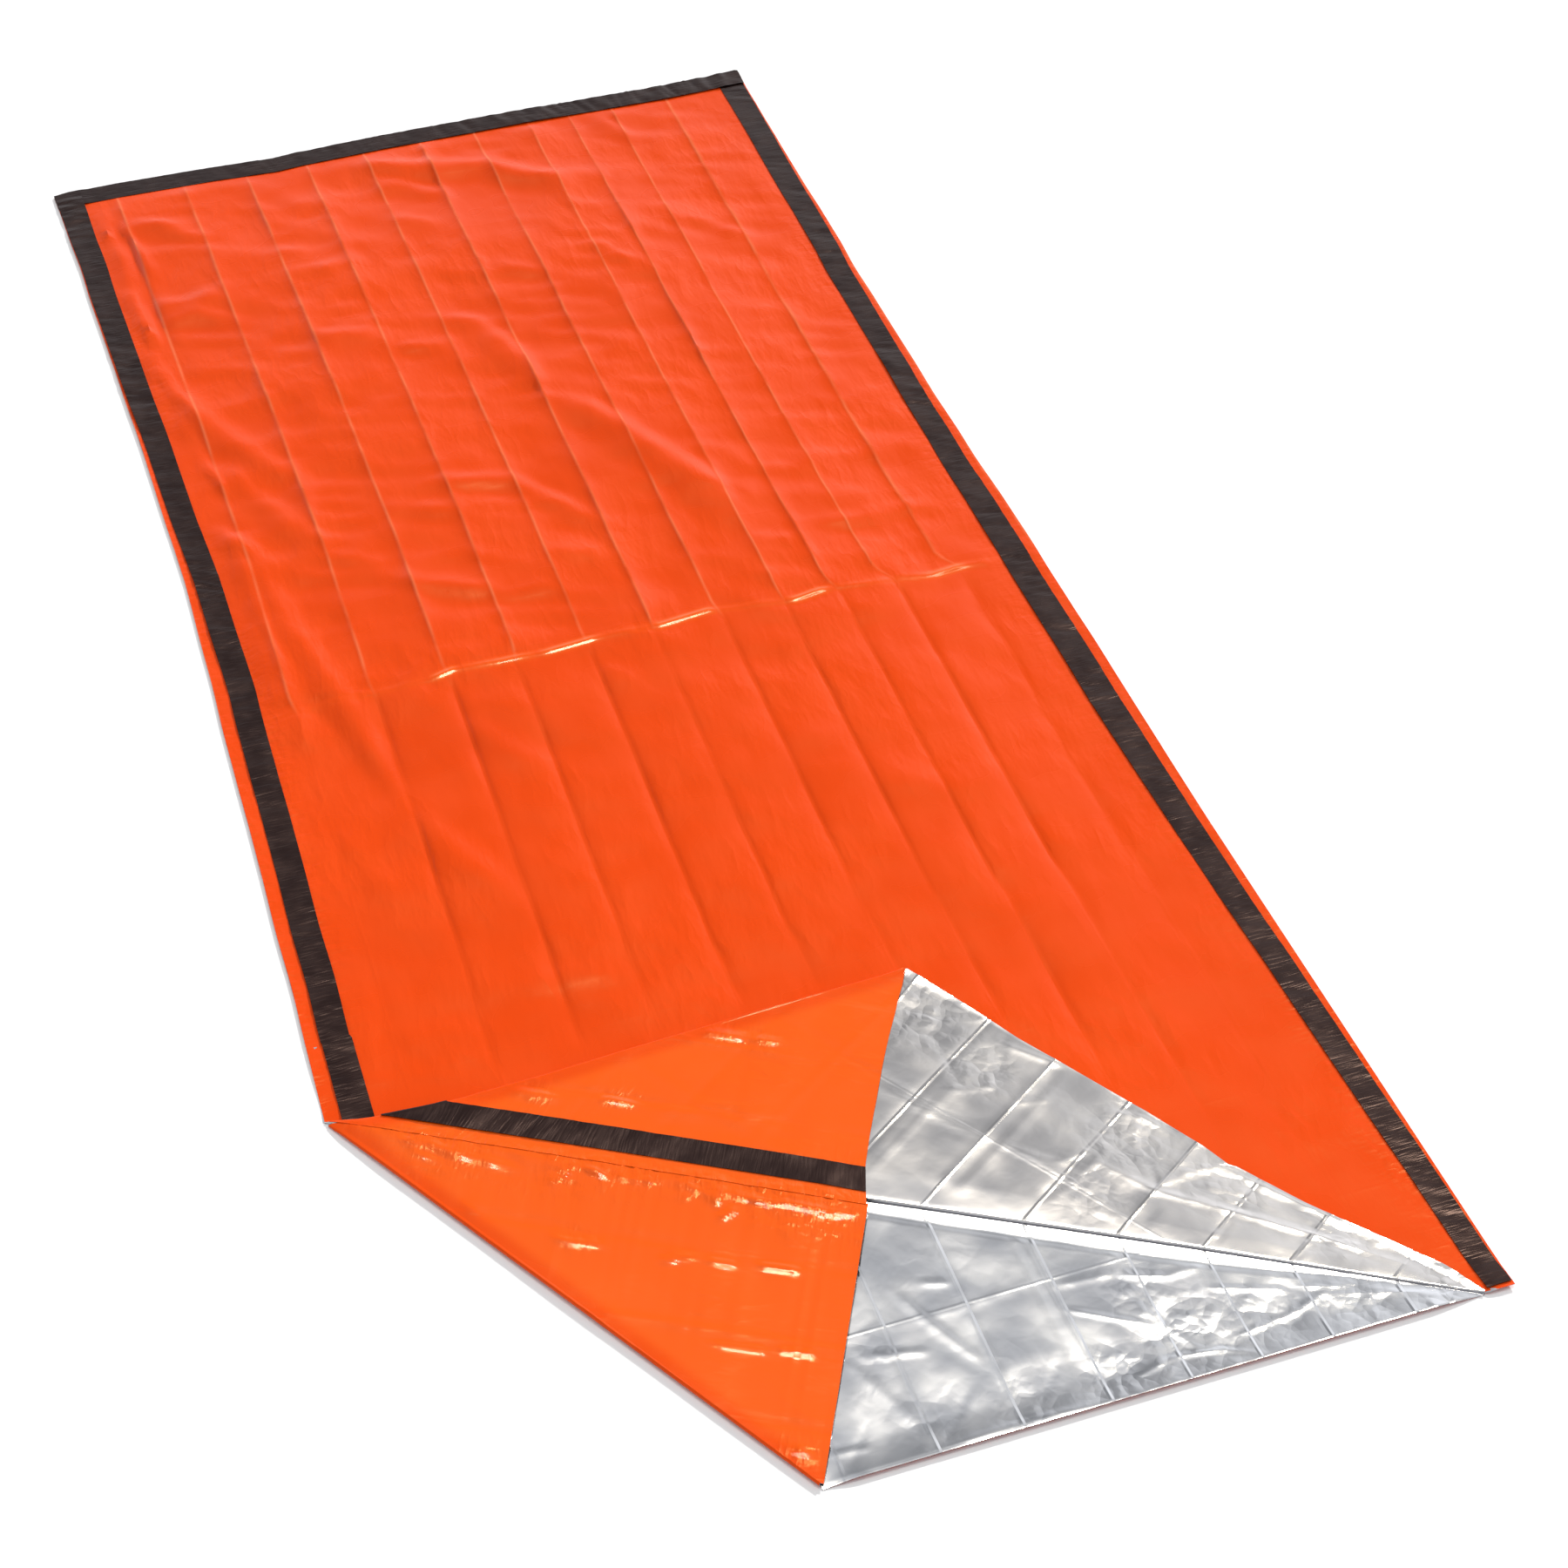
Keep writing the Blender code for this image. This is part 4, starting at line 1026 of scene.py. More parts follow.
def join_blocks(blocks):
    """Blocks of rows as one surface. Each goes on from the last row of the one before, from a first column.

    A block is (points, directions, flat places, first column, splits): the number of the column of the
    block before it that its own first column goes on from, and whether its columns are halved there.
    Gives flat arrays, the quads, and the triangles that go with them where columns are halved.
    """
    points, normals, flats, quads, triangles = [], [], [], [], []
    first = 0
    before = None
    for place, normal, flat, start, splits in blocks:
        rows, columns = place.shape[:2]
        quads.append(grid_faces(first, rows, columns))
        if before is not None:
            step = 2 if splits else 1
            each = np.arange((columns - 1) // step)
            old, new = before + start + each, first + step * each
            quads.append(np.stack((old, new, new + 1, old + 1), axis=-1))
            if splits:
                triangles.append(np.stack((old + 1, new + 1, new + 2), axis=-1))
        before = first + (rows - 1) * columns
        first += rows * columns
        points.append(place.reshape(-1, 3))
        normals.append(normal.reshape(-1, 3))
        flats.append(flat.reshape(-1, 2))
    triangles = np.concatenate(triangles) if triangles else np.zeros((0, 3), dtype=int)
    return tuple(np.concatenate(parts) for parts in (points, normals, flats, quads)) + (triangles,)


def new_object(name, data):
    """An object with its data, put in the scene."""
    made = bpy.data.objects.new(name, data)
    bpy.context.scene.collection.objects.link(made)
    return made


def shell(name, surface, thickness, outer, inner):
    """A closed sheet: a skin half a thickness either side of the surface, and walls round the edge.

    The skin on the side that the directions point to gets the outer material, the other one the inner.
    Both skins' quads start at the same corner, so that they bend along the same diagonal.
    Two maps go with it: the flat place in metres, and the count of packing creases along and across.
    """
    points, normals, flats, quads, triangles = surface
    count = len(points)
    skins = np.concatenate((points + normals * thickness / 2, points - normals * thickness / 2))
    skins[:, :2] += CORNER
    edges = np.concatenate([quads[:, [k, (k + 1) % 4]] for k in range(4)]
                           + [triangles[:, [k, (k + 1) % 3]] for k in range(3)])
    key = edges[:, 0] * count + edges[:, 1]
    rim = edges[~np.isin(key, edges[:, 1] * count + edges[:, 0])]
    walls = np.stack((rim[:, 1], rim[:, 0], rim[:, 0] + count, rim[:, 1] + count), axis=-1)
    faces = np.concatenate((quads, walls)).tolist() + triangles.tolist()
    back = (quads[:, [0, 3, 2, 1]] + count).tolist() + (triangles[:, ::-1] + count).tolist()
    mesh = bpy.data.meshes.new(name)
    mesh.from_pydata(skins, [], faces + back)
    finish_of = np.zeros(len(faces) + len(back), dtype=np.int32)
    finish_of[len(faces):] = 1
    mesh.polygons.foreach_set("material_index", finish_of)
    corners = np.empty(len(mesh.loops), dtype=np.int32)
    mesh.loops.foreach_get("vertex_index", corners)
    flat = np.concatenate((flats, flats))
    phase = np.stack((packing_phase(flat[:, 0], flat[:, 1]), flat[:, 1] / CROSS_FOLD_GAP), axis=-1)
    for layer, values in (("flat", flat), ("packing", phase)):
        mesh.uv_layers.new(name=layer).data.foreach_set("uv", values[corners].astype(np.float32).ravel())
    mesh.shade_smooth()
    mesh.set_sharp_from_angle(angle=math.radians(60))
    mesh.materials.append(outer)
    mesh.materials.append(inner)
    return new_object(name, mesh)


def attach(piece, name, values):
    """Gives a piece's points a named value each, the same on both skins, for its materials to read."""
    layer = piece.data.attributes.new(name, "FLOAT", "POINT")
    layer.data.foreach_set("value", np.concatenate((values, values)).astype(np.float32))


def halved(columns):
    """Columns with one more halfway between each two."""
    count = len(columns)
    return np.interp(np.arange(2 * count - 1) / 2, np.arange(count), columns)


def marked(columns, *marks):
    """Columns with the nearest one moved onto each mark."""
    for mark in marks:
        columns[np.abs(columns - mark).argmin()] = mark
    return columns


def strip_columns():
    """Columns of the upper sheet, close together at each packing crease, without the last one."""
    phases = (CREASE_NUMBERS[:-1, None] + np.array(STRIP_SHARES)[None, :]).ravel()
    return np.interp(phases, CREASE_NUMBERS, PACKING["near"])


def between(columns, first, last):
    """The columns from one to another, both included."""
    return columns[(columns >= first) & (columns <= last)]


def steps(count):
    """Even shares of the way, the last one 1, one for each of a count of rows."""
    return np.arange(1, count + 1) / count


def upper_rows():
    """Places of the straight rows up the bag, close together at the cross crease."""
    steps = CROSS_Y + np.array(CROSS_ROW_STEPS)
    far = np.linspace(BAG_LENGTH, steps[0], FAR_ROWS)[:-1]
    middle = np.linspace(steps[-1], NEAR_FROM, MIDDLE_ROWS)[1:]
    return np.concatenate((far, steps, middle))


def wandering_body_place(near_x, y):
    """The upper sheet where a column and a row cross: rows follow the cross crease as it wanders."""
    x = column_x(near_x, y)
    wander = reading(CROSS, "y", x) + CROSS_SHIFT - CROSS_Y
    return body_place(x, y + wander * smooth(1.0 - np.abs(y - CROSS_Y) / 0.060))


def upper_surface():
    """The upper sheet, from the foot to the mouth crease, turned back, and its corner forward again."""
    columns = marked(strip_columns(), FIRST_COLUMN, MOUTH_FOLD_COLUMN, TIP_FOLD_COLUMN)
    columns = np.concatenate((columns, [BAG_WIDTH]))
    fan = between(columns, FIRST_COLUMN, MOUTH_FOLD_COLUMN)
    corner = halved(between(columns, FIRST_COLUMN, TIP_FOLD_COLUMN))
    first = int(np.searchsorted(columns, FIRST_COLUMN))
    turned = 1.0 - (1.0 - steps(TURNED_ROWS)) ** 1.25
    return join_blocks((
        grid(wandering_body_place, columns, upper_rows()) + (0, False),
        grid(near_place, columns, 1.0 - steps(NEAR_ROWS)) + (0, False),
        grid(mouth_bend_place, fan, BENDS) + (first, False),
        grid(turned_place, halved(fan), turned) + (0, True),
        grid(tip_bend_place, corner, BENDS) + (0, False),
        grid(corner_place, corner, steps(CORNER_ROWS)) + (0, False),
    ))


def lower_surface():
    """The lower sheet, flat on the floor, with its mouth corner folded up over it."""
    columns = np.linspace(0.0, BAG_WIDTH, round(BAG_WIDTH / INSIDE_COLUMN) + 1)
    columns = marked(columns, LOWER_FOLD_COLUMN, MOUTH_FOLD_COLUMN)
    fan = between(columns, FIRST_COLUMN, MOUTH_FOLD_COLUMN)
    corner = between(columns, FIRST_COLUMN, LOWER_FOLD_COLUMN)
    first = int(np.searchsorted(columns, FIRST_COLUMN))
    hidden = (1.0 - np.arange(0, HIDDEN_ROWS + 1) / HIDDEN_ROWS) ** 1.6
    return join_blocks((
        grid(hidden_place, columns, hidden) + (0, False),
        grid(inside_place, fan, steps(INSIDE_ROWS)) + (first, False),
        grid(lower_bend_place, corner, BENDS) + (0, False),
        grid(lower_corner_place, corner, steps(LOWER_CORNER_ROWS)) + (0, False),
    ))


# Tapes: the length of one fine ruffle, the strips across, the length of a row, and the rows at the folds
RUFFLE_CELL = 0.0085
TAPE_STRIPS = 9
TAPE_ROW = 0.0036
TAPE_NEAR_ROWS = 32
TAPE_TURNED_ROWS = 12


def ruffles(along, across, seed):
    """Ruffles of a tape that was laid with a little slack: ridges across it, slanting, in patches."""
    slant = along + 0.35 * across + 0.004 * noise(along / 0.06, across / 0.02, seed)
    patch = 0.35 + 0.65 * smooth(0.5 + 0.9 * noise(along / 0.14, 0.5, seed + 1))
    fine = 0.00155 * (1.0 + ridges(slant / RUFFLE_CELL, across / 0.050, seed + 2)) / 2.0
    coarse = 0.00110 * (1.0 + ridges(slant / 0.031, across / 0.060, seed + 3)) / 2.0
    calm = 0.45 + 0.55 * smooth((along - 0.45) / 0.25)
    return (fine + coarse) * patch * calm


def tape_x(side, y, share):
    """Flat x across a side tape, from its left edge at share 0 to its right at share 1."""
    outer = reading(TAPES, side + "_outer", y)
    inner = reading(TAPES, side + "_inner", y)
    if side == "right":
        outer, inner = BAG_WIDTH - inner, BAG_WIDTH - outer
    return outer + (inner - outer) * share


def laid_on(place, seed):
    """Tape over the sheet's place: a tape's rise along the outward direction, plus its own ruffles."""
    points, normals, flat = place
    lift = TAPE_RISE + ruffles(flat[..., 1], flat[..., 0], seed)
    return points + normals * lift[..., None], normals, flat


def tape_block(place, side, values, seed):
    """Rows of a side tape on one part of the sheet. The place takes flat x and one more value a row."""
    share, value = np.meshgrid(np.linspace(0.0, 1.0, TAPE_STRIPS + 1), values)
    y = value if place is body_place else np.zeros(value.shape)
    return laid_on(place(tape_x(side, y, share), value), seed) + (0, False)


def rows_between(start, end):
    """Evenly spaced values from start to end, about a tape row apart, without the first."""
    return np.linspace(start, end, round(abs(end - start) / TAPE_ROW) + 1)[1:]


def left_tape_surface():
    """The left tape: down the body, round the mouth crease, round the tip crease, and along the corner."""
    start = BAG_LENGTH - TAPE_FOOT_END
    parts = (
        (body_place, np.concatenate(([start], rows_between(start, NEAR_FROM)))),
        (near_place, 1.0 - steps(TAPE_NEAR_ROWS)),
        (mouth_bend_place, BENDS),
        (turned_place, steps(TAPE_TURNED_ROWS)),
        (tip_bend_place, BENDS),
        (corner_place, rows_between(0.0, APEX[1]) / APEX[1]),
    )
    return join_blocks([tape_block(place, "left", values, 101) for place, values in parts])


def right_tape_surface():
    """The right tape, from under the foot tape to the mouth."""
    start = BAG_LENGTH - TAPE_FOOT_END
    body = np.concatenate(([start], rows_between(start, TAPE_MOUTH_END)))
    return join_blocks((tape_block(body_place, "right", body, 121),))


def foot_tape_surface():
    """The foot tape, over both side tapes' ends: it climbs a tape's thickness at each end."""
    top = float(reading(TAPES, "left_inner", BAG_LENGTH)) + AIR
    width = BAG_WIDTH - 2 * FOOT_TAPE_SIDE
    x, y = np.meshgrid(FOOT_TAPE_SIDE + np.linspace(0.0, width, round(width / TAPE_ROW) + 1),
                       np.linspace(BAG_LENGTH, BAG_LENGTH - FOOT_TAPE_WIDTH, TAPE_STRIPS + 1))
    points, normals, flat = body_place(x, y)
    climb = smooth((top + FOOT_TAPE_RAMP - np.minimum(x, BAG_WIDTH - x)) / FOOT_TAPE_RAMP)
    lift = TAPE_RISE + climb * (TAPE + AIR + 0.0006) + ruffles(x, y - BAG_LENGTH, 141)
    return join_blocks(((points + normals * lift[..., None], normals, flat, 0, False),))


def plug(tree, node, inputs):
    """A node with each of its inputs given as a value or as a link."""
    for socket, value in inputs.items():
        if isinstance(value, bpy.types.NodeSocket):
            tree.links.new(value, node.inputs[socket])
        else:
            node.inputs[socket].default_value = value
    return node


def add(tree, kind, inputs=None, **settings):
    """A new shader node of a kind, with its settings, and its inputs given as values or as links."""
    node = tree.nodes.new("ShaderNode" + kind)
    for name, value in settings.items():
        setattr(node, name, value)
    return plug(tree, node, inputs or {})


def uv_place(tree, name):
    """A place in one of the piece's own maps: flat, in metres, or packing, in counts of creases."""
    return add(tree, "UVMap", uv_map=name).outputs["UV"]


def attribute(tree, name):
    """A value that the piece's points carry."""
    return add(tree, "Attribute", attribute_name=name).outputs["Fac"]


def mixed_colour(tree, share, first, second, way="MIX"):
    """The first colour at share 0 and the second at share 1, or the second added to the first."""
    inputs = {"Factor": share, 6: first, 7: second}
    return add(tree, "Mix", inputs, data_type="RGBA", blend_type=way).outputs[2]


def maths(tree, operation, *values):
    """The result of one arithmetic step on values or links."""
    return add(tree, "Math", dict(enumerate(values)), operation=operation).outputs[0]


def spread(tree, value, low, high, to_low, to_high):
    """A value taken from one range to another, held at the ends."""
    inputs = {"Value": value, "From Min": low, "From Max": high, "To Min": to_low, "To Max": to_high}
    return add(tree, "MapRange", inputs).outputs["Result"]


def stretched(tree, place, scale, turn=0.0):
    """A place with each of its directions scaled, after a turn in the plane, in degrees."""
    inputs = {"Vector": place, "Scale": scale, "Rotation": (0.0, 0.0, math.radians(turn))}
    return add(tree, "Mapping", inputs, vector_type="POINT").outputs["Vector"]


def soft_noise(tree, place, scale, detail=2.0, roughness=0.5, distortion=0.0):
    """Noise from 0 to 1 at a scale per metre."""
    inputs = {"Vector": place, "Scale": scale, "Detail": detail, "Roughness": roughness,
              "Distortion": distortion}
    return add(tree, "TexNoise", inputs, noise_dimensions="2D").outputs["Fac"]


def sharp_noise(tree, place, scale, detail=2.0, distortion=0.0):
    """Noise with sharp crests: the size of the soft noise's distance from its middle, turned over."""
    level = maths(tree, "SUBTRACT", soft_noise(tree, place, scale, detail, 0.5, distortion), 0.5)
    return maths(tree, "SUBTRACT", 0.5, maths(tree, "ABSOLUTE", level))


def packing_lines(tree, half):
    """1 on each packing crease and cross fold, falling to 0 at half a share of their spacing."""
    parts = add(tree, "SeparateXYZ", {"Vector": uv_place(tree, "packing")})
    lines = []
    for name, width in (("X", half), ("Y", half * 0.55)):
        count = maths(tree, "ADD", parts.outputs[name], 0.5)
        away = maths(tree, "ABSOLUTE", maths(tree, "SUBTRACT", maths(tree, "FRACT", count), 0.5))
        lines.append(spread(tree, away, 0.0, width, 1.0, 0.0))
    return lines


def new_material(name):
    """A material with nodes, its tree and its shader."""
    material = bpy.data.materials.new(name)
    material.use_nodes = True
    return material, material.node_tree, material.node_tree.nodes["Principled BSDF"]


def bump(tree, height, shader):
    """Links a height in metres to a shader's normal."""
    node = add(tree, "Bump", {"Height": height, "Strength": 1.0, "Distance": 1.0})
    tree.links.new(node.outputs["Normal"], shader.inputs["Normal"])


def weighted_sum(tree, terms):
    """The sum of several values, each with its weight."""
    result = 0.0
    for value, weight in terms:
        result = add(tree, "Math", {0: value, 1: weight, 2: result}, operation="MULTIPLY_ADD").outputs[0]
    return result


# Colours of the finishes, each from its deeper to its paler tone
ORANGE_DEEP = (0.69, 0.048, 0.0010, 1.0)
ORANGE_BRIGHT = (0.76, 0.059, 0.002, 1.0)
# Painted sheen: a brighter orange for the glossy folded corners and the sharp lengths of the cross crease
ORANGE_PAINTED_SHEEN = (0.82, 0.096, 0.003, 1.0)
# Painted sheen: a paler orange along the packing creases of the far half
ORANGE_PAINTED_CREASE_SHEEN = (0.84, 0.19, 0.075, 1.0)
BLACK_DEEP = (0.007, 0.0022, 0.0018, 1.0)
BLACK_RUBBED = (0.014, 0.0055, 0.0045, 1.0)
# Painted reflection: the two sheets' silver is one finish, tinted apart for the tones that each reflects
UPPER_SILVER_PAINTED_REFLECTION = (0.77, 0.745, 0.74)
LOWER_SILVER_PAINTED_REFLECTION = (0.67, 0.68, 0.715)
SILVER_DULL = 0.86


def orange_film():
    """Orange side: saturated and semi-gloss, finely wrinkled, with painted sheen on glossy parts and far
    creases.
    """
    material, tree, shader = new_material("orange film")
    place = uv_place(tree, "flat")
    along, across = packing_lines(tree, 0.035)
    wrinkles = sharp_noise(tree, stretched(tree, place, (1.0, 0.35, 1.0), 24.0), 34.0, 3.0)
    broad = soft_noise(tree, place, 7.0, 2.0)
    uneven = soft_noise(tree, place, 17.0, 1.0)
    pucker = attribute(tree, "pucker")
    seal = sharp_noise(tree, stretched(tree, place, (0.30, 1.0, 1.0)), 85.0, 2.0)
    gloss = attribute(tree, "gloss")
    facet = maths(tree, "MULTIPLY", cells(tree, place, 70.0, 0.5), pucker)
    height = weighted_sum(tree, (
        (maths(tree, "MULTIPLY", wrinkles, spread(tree, broad, 0.40, 0.62, 0.35, 1.0)), 0.00220),
        (facet, -0.0014), (maths(tree, "MULTIPLY", seal, pucker), 0.0030),
        (maths(tree, "MULTIPLY", along, uneven), 0.00020),
        (maths(tree, "MULTIPLY", across, uneven), 0.00008)))
    bump(tree, height, shader)
    plain = mixed_colour(tree, broad, ORANGE_DEEP, ORANGE_BRIGHT)
    # Painted sheen and highlight: where the film is glossy, its colour turns to the brighter orange
    colour = mixed_colour(tree, gloss, plain, ORANGE_PAINTED_SHEEN)
    # Painted sheen: paler along the packing creases of the far half, in random patches
    far = attribute(tree, "far_painted_sheen")
    share = maths(tree, "MULTIPLY", spread(tree, uneven, 0.3, 0.6, 0.20, 0.60), far)
    painted_crease_sheen = mixed_colour(tree, maths(tree, "MULTIPLY", along, share), colour, ORANGE_PAINTED_CREASE_SHEEN)
    rough = spread(tree, uneven, 0.3, 0.7, 0.24, 0.34)
    rough = maths(tree, "SUBTRACT", rough, maths(tree, "MULTIPLY", gloss, 0.11))
    plug(tree, shader, {
        "Base Color": painted_crease_sheen, "Roughness": rough,
        "Specular IOR Level": 0.28, "Specular Tint": (1.0, 0.45, 0.16, 1.0),
        "Coat Weight": spread(tree, gloss, 0.0, 1.0, 0.04, 0.34), "Coat Roughness": 0.10})
    return material


def cells(tree, place, scale, seed):
    """Facets of crumpled foil: the distance from the nearest of many scattered points, in cells."""
    wander = soft_noise(tree, place, scale * 0.7, 1.0)
    shift = add(tree, "CombineXYZ", {"X": maths(tree, "MULTIPLY_ADD", wander, 0.9 / scale, seed),
                                     "Y": maths(tree, "MULTIPLY_ADD", wander, -0.7 / scale, seed)}).outputs[0]
    put = add(tree, "VectorMath", {0: place, 1: shift}, operation="ADD").outputs[0]
    inputs = {"Vector": put, "Scale": scale}
    return add(tree, "TexVoronoi", inputs, voronoi_dimensions="2D", feature="F1").outputs["Distance"]


def silver_film(name, painted_reflection_tint, seed):
    """Silver side: aluminised film with crinkles of two sizes, fine scuffs and the packing creases."""
    material, tree, shader = new_material(name)
    place = uv_place(tree, "flat")
    moved = add(tree, "Mapping", {"Vector": place, "Location": (seed, seed * 0.7, 0.0)}).outputs["Vector"]
    along, across = packing_lines(tree, 0.030)
    large = sharp_noise(tree, moved, 16.0, 2.0, 0.6)
    middle = sharp_noise(tree, stretched(tree, moved, (1.0, 0.7, 1.0), 30.0), 38.0, 2.0, 0.5)
    patch = spread(tree, soft_noise(tree, moved, 11.0, 1.0), 0.42, 0.62, 0.10, 1.0)
    uneven = soft_noise(tree, moved, 23.0, 1.0)
    crumple = attribute(tree, "crumple")
    facet = maths(tree, "MULTIPLY", cells(tree, moved, 38.0, 0.3), crumple)
    facet_small = maths(tree, "MULTIPLY", cells(tree, moved, 90.0, 0.8), crumple)
    height = weighted_sum(tree, (
        (large, 0.00010), (maths(tree, "MULTIPLY", middle, patch), 0.0002),
        (facet, -0.0021), (facet_small, -0.0006),
        (maths(tree, "MULTIPLY", along, uneven), 0.0007), (maths(tree, "MULTIPLY", across, uneven), 0.00018)))
    bump(tree, height, shader)
    # Painted reflection: each sheet's silver takes its own tint
    dull = tuple(SILVER_DULL * value for value in painted_reflection_tint)
    plug(tree, shader, {
        "Base Color": mixed_colour(tree, uneven, dull + (1.0,), painted_reflection_tint + (1.0,)),
        "Roughness": spread(tree, uneven, 0.3, 0.7, 0.12, 0.20), "Metallic": 1.0})
    return material


def black_tape():
    """Seam tape: near black and faintly brown, satin, with fine lines across it, greyer in random patches."""
    material, tree, shader = new_material("black tape")
    place = uv_place(tree, "flat")
    lines = sharp_noise(tree, stretched(tree, place, (0.12, 1.0, 1.0), 14.0), 210.0, 2.0)
    uneven = soft_noise(tree, place, 30.0, 2.0)
    bump(tree, weighted_sum(tree, ((lines, 0.00055),)), shader)
    plug(tree, shader, {
        "Base Color": mixed_colour(tree, uneven, BLACK_DEEP, BLACK_RUBBED),
        "Roughness": spread(tree, uneven, 0.3, 0.7, 0.18, 0.30),
        "Specular IOR Level": 0.36, "Specular Tint": (1.0, 0.68, 0.64, 1.0)})
    return material


def patches(surface, spots, least):
    """The strongest placed patch at each point, each fading out to its radius, or else the least value."""
    x, y = surface[0][:, 0], surface[0][:, 1]
    strongest = np.full(len(x), least)
    for middle_x, middle_y, radius, strength in spots:
        away = np.hypot(x - middle_x, y - middle_y)
        strongest = np.maximum(strongest, strength * smooth(1.0 - away / radius))
    return strongest


def pucker_values(surface):
    """How puckered the film is: most beside the tapes, in the seals and in placed patches of the corners."""
    flat = surface[2]
    x, y = flat[:, 0], flat[:, 1]
    from_tape = np.minimum(np.abs(x - reading(TAPES, "left_inner", y)),
                           np.abs(BAG_WIDTH - x - reading(TAPES, "right_inner", y)))
    margin = np.minimum(x, BAG_WIDTH - x)
    strong = 0.5 + 0.5 * noise(y / 0.09, x / 0.05, 91)
    seams = strong * np.exp(-from_tape / 0.016) + 0.8 * smooth(1.0 - margin / 0.018)
    return np.clip(0.6 * seams + patches(surface, CORNER_PUCKERS, 0.0) * folded_share(flat), 0.0, 1.0)


def folded_share(flat):
    """1 on the two folded corners, orange side up, and 0 on the rest of both sheets."""
    end = APEX[1] * (1.0 - flat[:, 0] / TIP_FOLD_X)
    return smooth((end - flat[:, 1]) / 0.020 + 1.0)


def gloss_and_painted_sheen_values(surface):
    """Gloss and painted sheen of the orange side: most on the folded corners, and where the cross crease is
    sharp.
    """
    flat = surface[2]
    away = np.abs(flat[:, 1] - reading(CROSS, "y", flat[:, 0]) - CROSS_SHIFT)
    sharp = reading(CROSS, "rise", flat[:, 0]) / 0.0014
    inside = APEX[1] * (1.0 - flat[:, 0] / TIP_FOLD_X) - flat[:, 1]
    on_corner = folded_share(flat) * (0.25 + 0.75 * smooth((inside - 0.012) / 0.030))
    return np.clip(on_corner + sharp * smooth(1.5 - away / CROSS_HALF), 0.0, 1.0)


# Lights: name, azimuth and elevation in degrees, strength, width in degrees, seen in gloss, lights colours
LIGHTS = (
    ("key light", 32.0, 71.0, 0.55, 13.0, True, True),
    ("low light", 42.0, 27.0, 3.3, 4.0, False, True),
    ("first glint light", -11.0, 74.5, 1.10, 10.0, True, False),
    ("second glint light", 34.0, 70.5, 1.00, 11.0, True, False),
    ("third glint light", 49.0, 61.5, 0.42, 9.0, True, False),
)

# How bright the room is at each height, the direction of its window, and half the floor's side
ROOM_LEVELS = ((0.0, 0.90), (0.30, 0.95), (0.45, 0.74), (0.56, 0.48), (0.63, 0.38), (0.74, 0.56),
               (0.80, 0.82), (0.88, 1.0), (1.0, 1.0))
WINDOW = (0.64, 0.64, 0.42)
FLOOR_HALF = 14.0

# The camera: its place, its azimuth, elevation and roll in degrees, and its lens in millimetres
CAMERA_PLACE = (-0.5961, -2.3615, 2.0442)
CAMERA_TURN = (-17.76, 43.02, -1.08)
CAMERA_LENS = 69.2


def studio():
    """A pale floor, a key light behind and above, a low light from the right, three for glints, a room."""
    mesh = bpy.data.meshes.new("floor")
    corners = [(x * FLOOR_HALF, y * FLOOR_HALF, -0.0002) for x, y in ((-1, -1), (1, -1), (1, 1), (-1, 1))]
    mesh.from_pydata(corners, [], [(0, 1, 2, 3)])
    floor = new_object("floor", mesh)
    material, tree, shader = new_material("pale floor")
    place = add(tree, "TexCoord").outputs["Object"]
    shade = mixed_colour(tree, soft_noise(tree, place, 3.0), (0.88, 0.88, 0.88, 1.0), (0.90, 0.90, 0.90, 1.0))
    plug(tree, shader, {"Base Color": shade, "Roughness": 0.9})
    mesh.materials.append(material)
    for name, azimuth, elevation, strength, spread_angle, in_gloss, in_colour in LIGHTS:
        light = bpy.data.lights.new(name, "SUN")
        light.color = (1.0, 0.98, 0.95) if in_colour else (1.0, 0.90, 0.70)
        light.energy = strength
        light.angle = math.radians(spread_angle)
        lamp = new_object(name, light)
        lamp.rotation_euler = (math.radians(90.0 - elevation), 0.0, math.radians(180.0 - azimuth))
        lamp.visible_glossy = in_gloss
        lamp.visible_diffuse = in_colour
    world = bpy.data.worlds.new("pale room")
    world.use_nodes = True
    room = world.node_tree
    place = add(room, "TexCoord").outputs["Generated"]
    up = add(room, "SeparateXYZ", {"Vector": place}).outputs["Z"]
    ramp = add(room, "ValToRGB", {"Fac": up})
    stops = ramp.color_ramp.elements
    for height, level in ROOM_LEVELS:
        stop = stops[0] if height == 0.0 else stops[-1] if height == 1.0 else stops.new(height)
        stop.color = (level * 0.98, level, level * 1.03, 1.0)
    window = add(room, "VectorMath", {0: place, 1: WINDOW}, operation="DOT_PRODUCT").outputs["Value"]
    glow = spread(room, window, 0.88, 0.97, 0.0, 0.9)
    sky = mixed_colour(room, 1.0, ramp.outputs["Color"], glow, "ADD")
    plug(room, room.nodes["Background"], {"Color": sky, "Strength": 0.80})
    bpy.context.scene.world = world
    bpy.context.scene.view_settings.view_transform = "Standard"


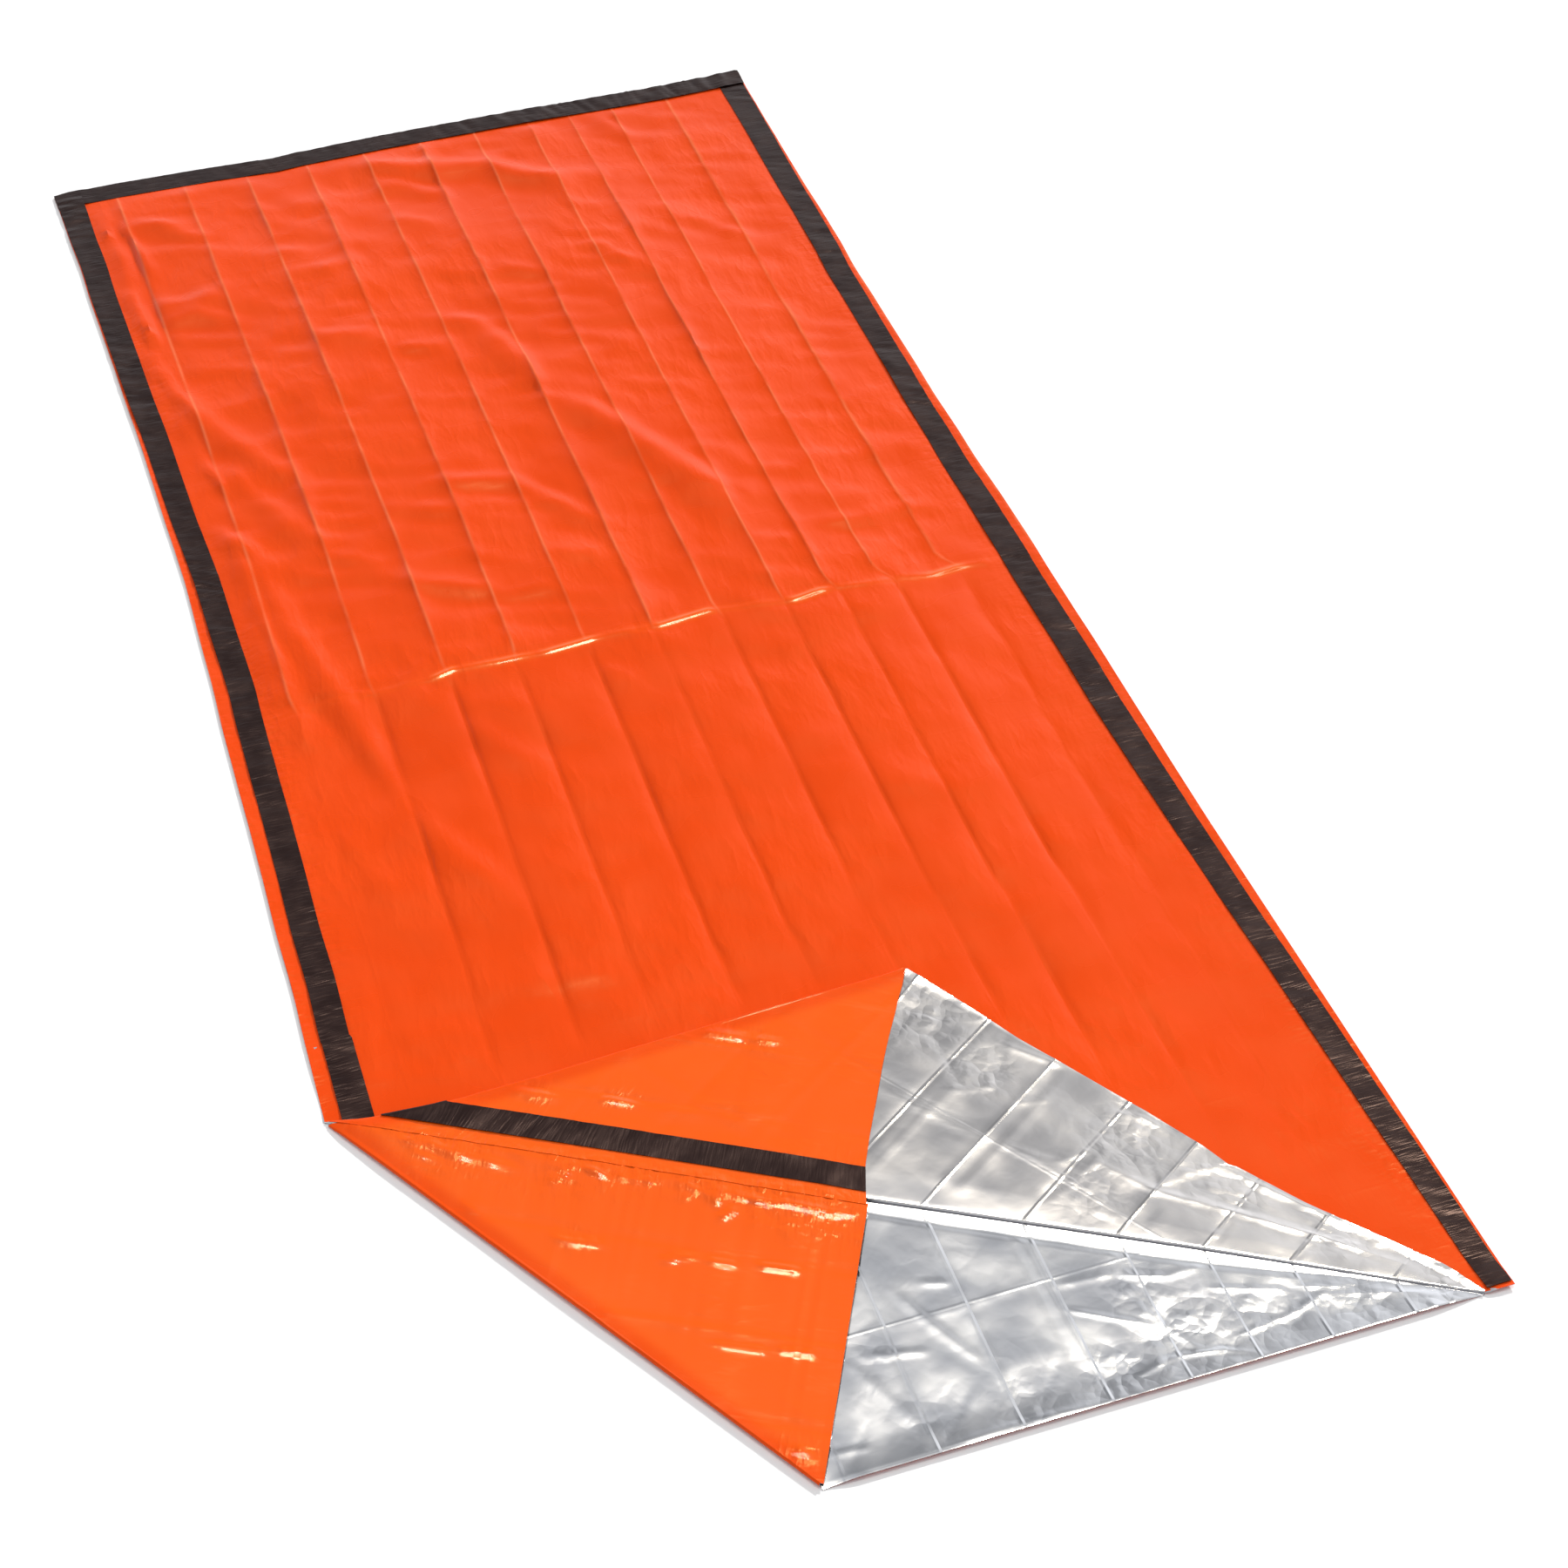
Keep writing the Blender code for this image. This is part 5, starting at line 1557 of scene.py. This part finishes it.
def camera():
    """The camera in front of the mouth and to its left, looking down at the bag."""
    azimuth, elevation, roll = (math.radians(angle) for angle in CAMERA_TURN)
    right = np.array([math.cos(azimuth), math.sin(azimuth), 0.0])
    back = np.array([math.sin(azimuth) * math.cos(elevation), -math.cos(azimuth) * math.cos(elevation),
                     math.sin(elevation)])
    up = np.cross(back, right)
    rolled_right = math.cos(roll) * right + math.sin(roll) * up
    rolled_up = math.cos(roll) * up - math.sin(roll) * right
    data = bpy.data.cameras.new("camera")
    data.sensor_width = 36.0
    data.lens = CAMERA_LENS
    data.clip_end = 100.0
    seat = new_object("camera", data)
    matrix = Matrix.Identity(4)
    matrix.col[0][:3] = rolled_right
    matrix.col[1][:3] = rolled_up
    matrix.col[2][:3] = back
    matrix.col[3][:3] = CAMERA_PLACE
    seat.matrix_world = matrix
    bpy.context.scene.camera = seat


def main():
    """Builds the bag's five pieces in their finishes, and the studio round them."""
    orange = orange_film()
    upper_silver = silver_film("silver film of the upper sheet", UPPER_SILVER_PAINTED_REFLECTION, 1.3)
    lower_silver = silver_film("silver film of the lower sheet", LOWER_SILVER_PAINTED_REFLECTION, 4.1)
    black = black_tape()
    upper = upper_surface()
    lower = lower_surface()
    pieces = (
        (shell("upper_sheet", upper, FILM, orange, upper_silver), "upper_panel", "upper_film"),
        (shell("lower_sheet", lower, FILM, lower_silver, orange), "lower_panel", "lower_film"),
        (shell("tape_left", left_tape_surface(), TAPE, black, black), "left_tape", "tape"),
        (shell("tape_right", right_tape_surface(), TAPE, black, black), "right_tape", "tape"),
        (shell("tape_foot", foot_tape_surface(), TAPE, black, black), "foot_tape", "tape"),
    )
    for piece, node, slot in pieces:
        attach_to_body(piece, "root")
        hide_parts(node)
        print(piece.name, sum(len(face.vertices) - 2 for face in piece.data.polygons), "triangles")
    for number, surface, spots in ((0, upper, TURNED_CRUMPLES), (1, lower, INSIDE_CRUMPLES)):
        piece = pieces[number][0]
        attach(piece, "pucker", pucker_values(surface))
        attach(piece, "gloss", gloss_and_painted_sheen_values(surface))
        attach(piece, "crumple", patches(surface, spots, LEAST_CRUMPLE))
        attach(piece, "far_painted_sheen", far_share(surface[2][:, 1]))
    studio()
    camera()


main()
